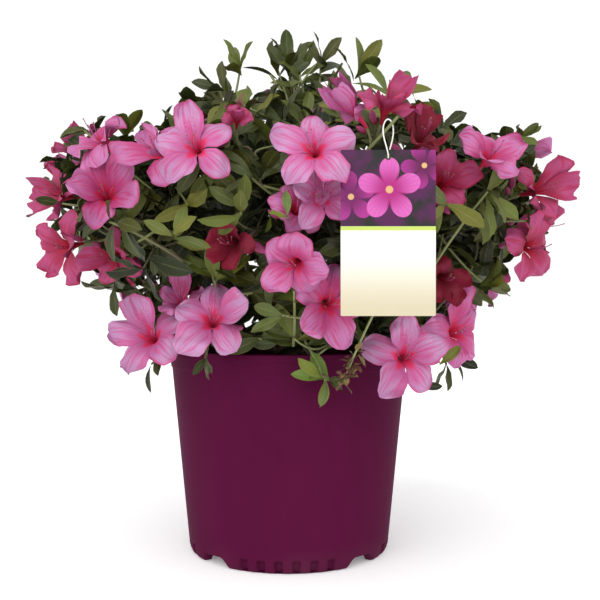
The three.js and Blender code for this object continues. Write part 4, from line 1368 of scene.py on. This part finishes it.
def make_blossom():
    piles = {tier: Pile() for tier in (*TIERS, "top")}
    stamens = Pile()
    filament = round_template(*FILAMENT_GRID, closed=False)
    bm = bmesh.new()
    bmesh.ops.create_icosphere(bm, subdivisions=1, radius=1)
    knob = plain_template(bm)
    bud = bud_template()
    for bloom in ALL_BLOOMS:
        random = seeded(bloom.seed + BLOSSOM_SEED)
        up, side = fan_of(bloom)
        roll = between(-PETAL_ROLL, PETAL_ROLL, next(random))
        pile = piles[PLANS[bloom.mass].tier]
        shapes = PETAL_SHAPES[bloom.opening]

        def aside(turn):
            return up * math.cos(turn) + side * math.sin(turn)

        for k, petal_turn in enumerate(PETAL_TURNS):
            jitter = between(-PETAL_TURN_JITTER, PETAL_TURN_JITTER, next(random))
            shape = shapes[int(next(random) * len(shapes))]
            size = bloom.size * between(*PETAL_SIZES, next(random))
            kind = 2 if k == 0 else (0, 1, 3)[int(next(random) * 3)]
            spread = aside(roll + petal_turn + jitter)
            corners = placed(shape, bloom.at, bloom.way, spread, size)
            pile.add(shape, corners, (kind, bloom.tone))
        for _ in range(1 + int(next(random) * 2)):
            away = aside(next(random) * 2 * math.pi)
            foot = bloom.at - bloom.way * WHORL_DROP
            way = unit(bloom.way + away * between(*BUD_SPREADS, next(random)))
            length = between(*BUD_LENGTHS, next(random))
            start = foot + way * BUD_STALK
            pile.add(bud, placed(bud, start, way, up, length), (0, min(bloom.tone + 1, 2)))
            stalk = swept(filament, np.array([foot, start]), BUD_STALK_RADII)
            stamens.add(filament, stalk, look=2)
        for k in range(STAMENS + 1):
            style = k == STAMENS
            away = aside(next(random) * 2 * math.pi)
            away = away * between(*STAMEN_SPREADS, next(random)) * OPENINGS[bloom.opening]
            long = STYLE_LENGTH if style else between(*STAMEN_LENGTHS, next(random))
            start = bloom.at + bloom.way * STAMEN_LIFT
            bend = start + bloom.way * long * 0.7 + away * 0.2 - up * STAMEN_SAG
            tip = bloom.at + bloom.way * long + away + up * STAMEN_LIFT
            path = bezier([start, bend, tip], np.linspace(0, 1, STAMEN_POINTS))
            radius = STYLE_RADIUS if style else STAMEN_RADIUS
            corners = swept(filament, path, [radius] * STAMEN_POINTS)
            stamens.add(filament, corners, (0, 1 if bloom.tone < 2 else 2))
            stamens.add(knob, placed(knob, tip, tip - bend, up, ANTHER_RADIUS), look=1)
    for tier, pile in piles.items():
        if pile.count:
            pile.piece(f"blossom_{tier}", PETAL)
    stamens.piece("stamens", PETAL, ANTHER, TWIG)


make_blossom()


# ---- Twigs and leaves ----

Twig = namedtuple("Twig", "start end mass")


def mass_root(plan):
    return plan.tip + unit(plan.middle - plan.tip) * STEM_GAP


def twig_start(plan, share):
    inward = unit(mass_root(plan) - plan.middle)
    return plan.middle + inward * CORE_RADIUS * TWIG_START_SHARE * share


def tag_plan():
    """The label's hook twig, and the middles of its string loop and of its card."""
    mass = nearest_mass(HOOK)
    start = twig_start(PLANS[mass], next(seeded(HOOK_SEED)))
    over = HOOK - unit(HOOK - start) * HOOK_REST
    loop_top = over[2] + 2 * HOOK_ROOM + STRING_RADIUS
    loop = np.array((over[0], over[1], loop_top - LOOP_HEIGHT / 2))
    card_top = loop_top - LOOP_HEIGHT + TAG_HOLE_DROP + STRING_RADIUS
    return Twig(start, HOOK, mass), loop, np.array((*loop[:2], card_top - TAG_HEIGHT / 2))


HOOK_TWIG, LOOP_MIDDLE, CARD_MIDDLE = tag_plan()


def by_the_tag(points):
    """True near the card, in the view of its front, or near its loop of string."""
    x, y, z = (points - CARD_MIDDLE).T
    near = (np.abs(x) < TAG_WIDTH / 2 + KEEP_CLEAR) & (y < TAG_BACK) & (y > -TAG_SIGHT)
    near &= np.abs(z) < TAG_HEIGHT / 2 + KEEP_CLEAR
    x, y, z = (points - LOOP_MIDDLE).T
    loop = (np.abs(x) < LOOP_WIDTH / 2 + KEEP_CLEAR) & (y < LOOP_WIDTH / 2) & (y > -TAG_SIGHT)
    loop &= np.abs(z) < LOOP_HEIGHT / 2
    return bool((near | loop).any())


def leaf_width(along):
    """A leaf's width as a share of its widest, from its narrow stalk to its short round point."""
    if along < LEAF_WIDEST:
        swelling = math.sin(math.pi / 2 * along / LEAF_WIDEST) ** LEAF_SWELL
        return between(LEAF_STALK_SHARE, 1.0, swelling)
    past = min((along - LEAF_WIDEST) / (1 - LEAF_WIDEST), 1)
    rounding, fullness = LEAF_SHOULDER
    return max((1 - past**rounding) ** fullness, LEAF_END_SHARE)


def leaf_template(droop, fold, twist, wave):
    """A leaf of length 1 along Y, with a short stalk, a crease, and its tip turned down."""
    bm = grid_sheet(*LEAF_GRID)
    for vertex in bm.verts:
        across, share = vertex.co.x, vertex.co.y
        along = 1 - (1 - share) ** LEAF_ROWS_TO_TIP
        half = LEAF_WIDTH_SHARE / 2 * leaf_width(along)
        lift = fold * abs(across) * half - droop * along**2 + LEAF_RISE * along
        lift += wave * math.sin(along * LEAF_WAVES) * across**2 * half
        turn = twist * along
        vertex.co.x = across * half * math.cos(turn)
        vertex.co.y = along
        vertex.co.z = lift + across * half * math.sin(turn)
    bmesh.ops.recalc_face_normals(bm, faces=bm.faces[:])
    if sum(face.normal.z for face in bm.faces) < 0:
        bmesh.ops.reverse_faces(bm, faces=bm.faces[:])
    return template_of(bm)


LEAF_SHAPES = [
    leaf_template(0.20, 0.42, 0.0, 0.25),
    leaf_template(0.34, 0.30, 0.25, 0.0),
    leaf_template(0.12, 0.60, -0.2, 0.4),
    leaf_template(0.26, 0.20, -0.35, 0.3),
]
TWIG_SHAPE = round_template(*TWIG_GRID, closed=False)
LEAF_TEST_POINTS = np.array([(0, 0.55, 0.05), (0, 1.0, 0), (0.16, 0.55, 0.05), (-0.16, 0.55, 0.05)])


class Crown:
    """The leaves and twigs of one tier, in one pile each."""

    def __init__(self):
        self.leaves, self.twigs = Pile(), Pile()

    def twig(self, start, bend, end, radii, tone):
        path = bezier([start, bend, end], np.linspace(0, 1, TWIG_POINTS))
        corners = swept(TWIG_SHAPE, path, np.linspace(*radii, TWIG_POINTS))
        self.twigs.add(TWIG_SHAPE, corners, (0, tone))

    def leaf(self, at, along, toward, length, tile, shape, free=False):
        across = np.cross(along, toward)
        if np.linalg.norm(across) < 1e-6:
            return False
        across = unit(across)
        turn = np.stack([across, along, np.cross(across, along)], axis=1)
        tests = LEAF_TEST_POINTS @ (turn.T * length) + at
        if in_pot(tests) or by_the_tag(tests):
            return False
        if not in_crown(tests, SPRIG_SLACK if free else OUTLINE_SLACK):
            return False
        if before_a_bloom(tests, free) or not free and outside_the_mass(tests):
            return False
        self.leaves.add(shape, shape.corners @ (turn.T * length) + at, tile)
        return True

    def whorl(self, end, way, random, count, row, tilts=WHORL_TILTS, lengths=LEAF_LENGTHS,
              sunward=None):
        """Leaves round a twig's end, the later ones lower and wider, by the source's rule.

        A sprig's leaves turn their upper face to the light as well, and may stand clear.
        """
        free = sunward is not None
        side = across_of(way)
        other = np.cross(way, side)
        phase = next(random) * 2 * math.pi
        grown = 0
        for i in range(count):
            length = between(*lengths, next(random)) * between(FIRST_LEAF_SHARE, 1, i / count)
            lean = between(*tilts, i / count) + TILT_JITTER * next(random)
            shape = LEAF_SHAPES[int(next(random) * len(LEAF_SHAPES))]
            column = int(next(random) * LEAF_COLUMNS)
            root = end - way * LEAF_STEP * i
            roll = between(-LEAF_ROLL, LEAF_ROLL, next(random))
            for attempt in range(ATTEMPTS):
                turn = phase + i * GOLDEN_TURN + attempt * ATTEMPT_TURN
                tilt = math.radians(lean + attempt * ATTEMPT_TILT)
                radial = side * math.cos(turn) + other * math.sin(turn)
                along = way * math.cos(tilt) + radial * math.sin(tilt)
                toward = way * math.sin(tilt) - radial * math.cos(tilt)
                toward = toward + np.array((0, 0, LIGHTWARD)) + np.cross(along, toward) * roll
                if free:
                    toward = toward + sunward
                if self.leaf(root, along, toward, length, (column, row), shape, free):
                    grown += 1
                    break
        return grown


def outside_the_mass(points):
    """True below the rim's level, or above the ragged top that only sprigs rise from."""
    x, y, _ = points[0] * RAGS_PER_METRE
    ceiling = between(*HIGHEST_LEAF, 0.5 + 0.5 * noise.noise(Vector((x, y, RAGS_LEVEL))))
    return bool(points[:, 2].min() < LOWEST_LEAF or points[:, 2].max() > ceiling)


def row_for(draw, inner):
    """The tone of a whole spray, its leaves and twig: the inside of the crown is darker, as painted
    shade.
    """
    darkest, middling = INNER_SHADE_TONES if inner else OUTER_TONES
    if draw < darkest:
        return DARK
    return MID if draw < middling else LIGHT


def leaf_count(draw):
    fewest, most = LEAVES_PER_WHORL
    return fewest + int(draw * (most - fewest + 1))


def spray_place(turn, height, inset):
    """A place inside the crown's outline, and the way out of the crown there."""
    out = crown_outward(turn, height)
    return crown_point(turn, height, float(reach_at(height))) - out * inset, out


def turned_back(point, back):
    """A point on the front, or where it comes to when the plant is turned half round."""
    return np.array(point) * ((-1, -1, 1) if back else 1)


def grow_main_twigs(crowns):
    """The stubs, the stalks of blooms, the hook and the sprays, by the source's rule."""
    main = []

    def main_twig(at, mass, seed, bloom=None):
        random = seeded(seed)
        start = twig_start(PLANS[mass], next(random))
        bend = at - bloom.way * BLOOM_STALK if bloom else between(start, at, TWIG_BEND_SHARE)
        main.append(Twig(start, at, mass))
        limb = (start, bend - np.array((0, 0, TWIG_SAG)), at, TWIG_RADII, MID)
        return crowns[PLANS[mass].tier], random, unit(at - start), limb

    for plan in PLANS:
        limb = (plan.tip, between(plan.tip, plan.middle, 0.5), plan.middle)
        crowns[plan.tier].twig(*limb, (BOUGH_TIP_RADIUS, STEM_RADIUS), DARK)
    for bloom in ALL_BLOOMS:
        crown, random, _, limb = main_twig(bloom.at, bloom.mass, bloom.seed, bloom)
        crown.twig(*limb)
        crown.whorl(bloom.at - bloom.way * WHORL_DROP, bloom.way, random, BLOOM_LEAVES,
                    row_for(next(random), False), BLOOM_WHORL_TILTS)
    crown, random, way, limb = main_twig(HOOK, HOOK_TWIG.mass, HOOK_SEED)
    crown.twig(*limb)
    crown.whorl(HOOK, way, random, HOOK_LEAVES, LIGHT)
    for i, turn, height in spiral_places(SPRAYS):
        at, out = spray_place(turn, height, LEAF_INSET)
        if nearest_bloom(at) < BLOOM_ROOM:
            continue
        crown, random, way, limb = main_twig(at, nearest_mass(at), i + SPRAY_SEED)
        if at[2] <= LOWEST_LEAF:
            continue
        count = leaf_count(next(random))
        if crown.whorl(at, unit(way + out), random, count, row_for(next(random), False)):
            crown.twig(*limb)
    return main


def grow_sprigs(crowns):
    for i, sprig in enumerate(SPRIGS):
        for back in (0, 1):
            at = turned_back(sprig.at, back)
            way = facing(sprig.swing + back * 180, sprig.lift)
            plan = PLANS[nearest_mass(at)]
            root = turned_back(sprig.root, back) if sprig.root else twig_start(plan, 0.5)
            arch = way * SPRIG_ARCH * np.linalg.norm(at - root)
            bend = between(root, at, SPRIG_BEND_SHARE) - arch
            crown = crowns[plan.tier]
            crown.twig(root, bend, at, SPRIG_RADII, sprig.tone)
            crown.whorl(at, way, seeded(SPRIG_SEED + 2 * i + back), sprig.leaves, sprig.tone,
                        sprig.tilts, sprig.lengths, SUNWARD * unit(at * (1, 1, 0)))


def grow_fine_twigs(crowns, main):
    """Finer twigs, each from the nearest twig of its mass out to a spray of its own."""
    starts, ends, owners = (np.array(column) for column in zip(*main))

    def fine_twig(at, out, seed, inner):
        mass = nearest_mass(at)
        random = seeded(seed)
        own = np.flatnonzero(owners == mass)
        forks = between(starts[own], ends[own], between(*FORK_SHARES, next(random)))
        pick = int(np.argmin(((forks - at) ** 2).sum(1)))
        fork, parent = forks[pick], unit(ends[own[pick]] - starts[own[pick]])
        reach = np.linalg.norm(at - fork)
        row = row_for(next(random), inner)
        crown = crowns[PLANS[mass].tier]
        bend = fork + (parent * FINE_RUN - np.array((0, 0, FINE_SAG))) * reach
        way = unit(unit(at - bend) + out * FINE_OUTWARD)
        if not crown.whorl(at, way, random, leaf_count(next(random)), row):
            return
        crown.twig(fork, bend, at, FINE_TWIG_RADII, row)
        low = bezier([fork, bend, at], [LOW_WHORL_SHARE])[0]
        crown.whorl(low, way, random, LOW_LEAVES, max(row - 1, DARK), LOW_WHORL_TILTS)

    for inner, (count, insets, first_turn, seed) in ((False, FINE_TWIGS), (True, INNER_TWIGS)):
        for i, turn, height in spiral_places(count, first_turn):
            at, out = spray_place(turn, height, between(*insets, next(seeded(i + seed))))
            spot = at[None]
            hidden = before_a_bloom(spot) or at[2] < LOWEST_LEAF
            if inner:
                hidden = hidden or at[2] > HIGHEST_INNER
            elif nearest_bloom(at) < FINE_ROOM or by_the_tag(spot) or in_pot(spot):
                hidden = True
            if not hidden:
                fine_twig(at, out, i + seed + TWIG_SEED_STEP, inner)


def grow_crown():
    crowns = {tier: Crown() for tier in (*TIERS, "top")}
    main = grow_main_twigs(crowns)
    grow_sprigs(crowns)
    grow_fine_twigs(crowns, main)
    for tier, crown in crowns.items():
        masses = [name for name in NODES if name.startswith(f"foliage_{tier}")]
        crown.leaves.piece(f"leaves_{tier}", LEAF, nodes=masses, slot="foliage")
        crown.twigs.piece(f"twigs_{tier}", TWIG, nodes=masses, slot="foliage")


grow_crown()


def make_spent_flowers():
    """A stem that hangs over the rim with a head of brown bracts left by spent flowers."""
    foot, head = (np.array(point) for point in SPENT_STEM)
    stem, bracts = Pile(), Pile()
    bend = between(foot, head, 0.5) - np.array((TWIG_SAG, TWIG_SAG, 0))
    path = bezier([foot, bend, head], np.linspace(0, 1, TWIG_POINTS))
    radii = np.linspace(*SPENT_RADII, TWIG_POINTS)
    stem.add(TWIG_SHAPE, swept(TWIG_SHAPE, path, radii), (0, YOUNG))
    random = seeded(SPENT_SEED)
    for i in range(SPENT_BRACTS):
        lift = between(-BRACT_LIFT, BRACT_LIFT, next(random))
        way = facing(i * math.degrees(GOLDEN_TURN), lift)
        at = head + way * BRACT_STAND + (head - foot) * between(*HEAD_REACH, next(random))
        length = between(*BRACT_LENGTHS, next(random))
        shape = LEAF_SHAPES[i % len(LEAF_SHAPES)]
        broad = shape._replace(corners=shape.corners * (BRACT_BREADTH, 1, 1))
        bracts.add(broad, placed(broad, at, way, (0, 0, 1), length), look=i % 2)
    stem.piece("spent_stem", TWIG, slot="foliage")
    bracts.piece("spent_flowers", chip_finish("spent_brown", (0.060, 0.024, 0.014),
                                              (0.180, 0.080, 0.045)),
                 chip_finish("spent_olive", (0.120, 0.080, 0.025), (0.300, 0.230, 0.080)))


make_spent_flowers()


# ---- The label ----

def tag_finish():
    """A plain printed card: simple flowers on a plum panel over bare cream, and a band."""
    f = Finish("label_print", 0.45, Specular_IOR_Level=0.25)
    split = f.add("SeparateXYZ", f.object_place())
    x = f.calc("SUBTRACT", split.outputs[0], float(CARD_MIDDLE[0]))
    z = f.calc("SUBTRACT", split.outputs[2], float(CARD_MIDDLE[2]))

    def flower(colour, across, up, size, turned, outer, inner):
        """Lays one five-lobed flower over a colour."""
        aside, above = f.calc("SUBTRACT", x, across), f.calc("SUBTRACT", z, up)
        out = f.calc("SQRT", f.calc("MULTIPLY_ADD", aside, aside, f.product(above, above)))
        turn = f.calc("ADD", f.calc("ARCTAN2", aside, above), turned)
        lobes = f.calc("ABSOLUTE", f.calc("COSINE", f.product(turn, PETALS / 2)))
        edge = f.calc("MULTIPLY_ADD", f.calc("POWER", lobes, 0.6), size * 0.72, size * 0.28)
        shape = f.step(f.calc("SUBTRACT", edge, out), 0.0, 0.0005)
        fibres = f.calc("PINGPONG", f.product(turn, 6.0), 0.5)
        petals = f.mix(f.step(out, size * 0.12, size * 0.9), inner, outer)
        petals = f.over(petals, inner, fibres, 0.35)
        petals = f.over(petals, inner, f.step(lobes, 0.5, 0.1))
        colour = f.over(colour, petals, shape)
        return f.over(colour, (0.60, 0.36, 0.16), f.step(out, size * 0.13, size * 0.10))

    cream = f.mix(f.step(z, -0.069, 0.002), (0.54, 0.48, 0.33), (0.80, 0.80, 0.76))
    mottle = f.noise(f.object_place(), 55.0)
    art = f.mix(f.step(mottle, 0.35, 0.62), (0.010, 0.014, 0.010), (0.070, 0.008, 0.060))
    art = flower(art, 0.030, 0.056, 0.020, 0.4, (0.30, 0.020, 0.20), (0.10, 0.006, 0.06))
    art = flower(art, -0.031, 0.030, 0.022, 0.1, (0.34, 0.026, 0.22), (0.14, 0.008, 0.09))
    art = flower(art, 0.001, 0.036, 0.027, 0.0, (0.56, 0.110, 0.40), (0.34, 0.014, 0.16))
    colour = f.mix(f.step(z, 0.0052, 0.0056), cream, art)
    colour = f.over(colour, (0.46, 0.58, 0.12), f.step(z, 0.0018, 0.0022),
                    f.step(z, 0.0056, 0.0052))
    front = f.step(f.calc("SUBTRACT", split.outputs[1], float(CARD_MIDDLE[1])), 0.0002, 0.0)
    colour = f.mix(front, (0.78, 0.77, 0.72), colour)
    fibre = f.noise(f.object_place(), 700.0, 3.0)
    f.bump(fibre, 0.08, 0.0002)
    return f.done(colour)


def make_label():
    """The card with rounded corners and a punched hole, and its loop of string."""
    half_width, half_height = TAG_WIDTH / 2 - TAG_CORNER, TAG_HEIGHT / 2 - TAG_CORNER
    hole = Vector((CARD_MIDDLE[0], 0, CARD_MIDDLE[2] + TAG_HEIGHT / 2 - TAG_HOLE_DROP))
    bm = bmesh.new()
    outer = []
    for x_sign, z_sign, first in ((1, 1, 0), (-1, 1, 90), (-1, -1, 180), (1, -1, 270)):
        for i in range(TAG_CORNER_POINTS):
            turn = math.radians(first + i * 90 / (TAG_CORNER_POINTS - 1))
            x = CARD_MIDDLE[0] + x_sign * half_width + math.cos(turn) * TAG_CORNER
            z = CARD_MIDDLE[2] + z_sign * half_height + math.sin(turn) * TAG_CORNER
            outer.append(bm.verts.new((x, 0, z)))
    count = len(outer)
    turns = [2 * math.pi * k / count for k in range(count)]
    ring = [bm.verts.new(hole + Vector((math.cos(turn), 0, math.sin(turn))) * TAG_HOLE_RADIUS)
            for turn in turns]
    edges = [bm.edges.new((loop[k], loop[(k + 1) % count])) for loop in (outer, ring)
             for k in range(count)]
    bmesh.ops.bridge_loops(bm, edges=edges)
    bmesh.ops.recalc_face_normals(bm, faces=bm.faces[:])
    for vertex in bm.verts:
        vertex.co.y = CARD_MIDDLE[1] - TAG_THICKNESS / 2
    bmesh.ops.solidify(bm, geom=bm.faces[:], thickness=TAG_THICKNESS)
    bmesh.ops.recalc_face_normals(bm, faces=bm.faces[:])
    middle = sum(vertex.co.y for vertex in bm.verts) / len(bm.verts)
    for vertex in bm.verts:
        vertex.co.y += CARD_MIDDLE[1] - middle
    card = finished_piece("plant_label", mesh_of(bm, "plant_label"), [tag_finish()],
                          ["label_card"], "label_card")
    sharpened(card, TAG_CREASE)
    turns = np.linspace(0, 2 * math.pi, STRING_STEPS + 1)
    quarter = (1 - np.sin(turns)) / 2 * (math.pi / 2)
    across = np.cos(turns) * LOOP_WIDTH / 2
    path = LOOP_MIDDLE + np.stack([
        across * np.cos(quarter), across * np.sin(quarter), np.sin(turns) * LOOP_HEIGHT / 2,
    ], axis=1)
    string = round_template(STRING_SIDES, STRING_STEPS, closed=False)
    pile = Pile()
    pile.add(string, loop_tube(string, path, STRING_RADIUS))
    pile.piece("label_loop", string_finish(), nodes=["label_string"], slot="label_string")


make_label()
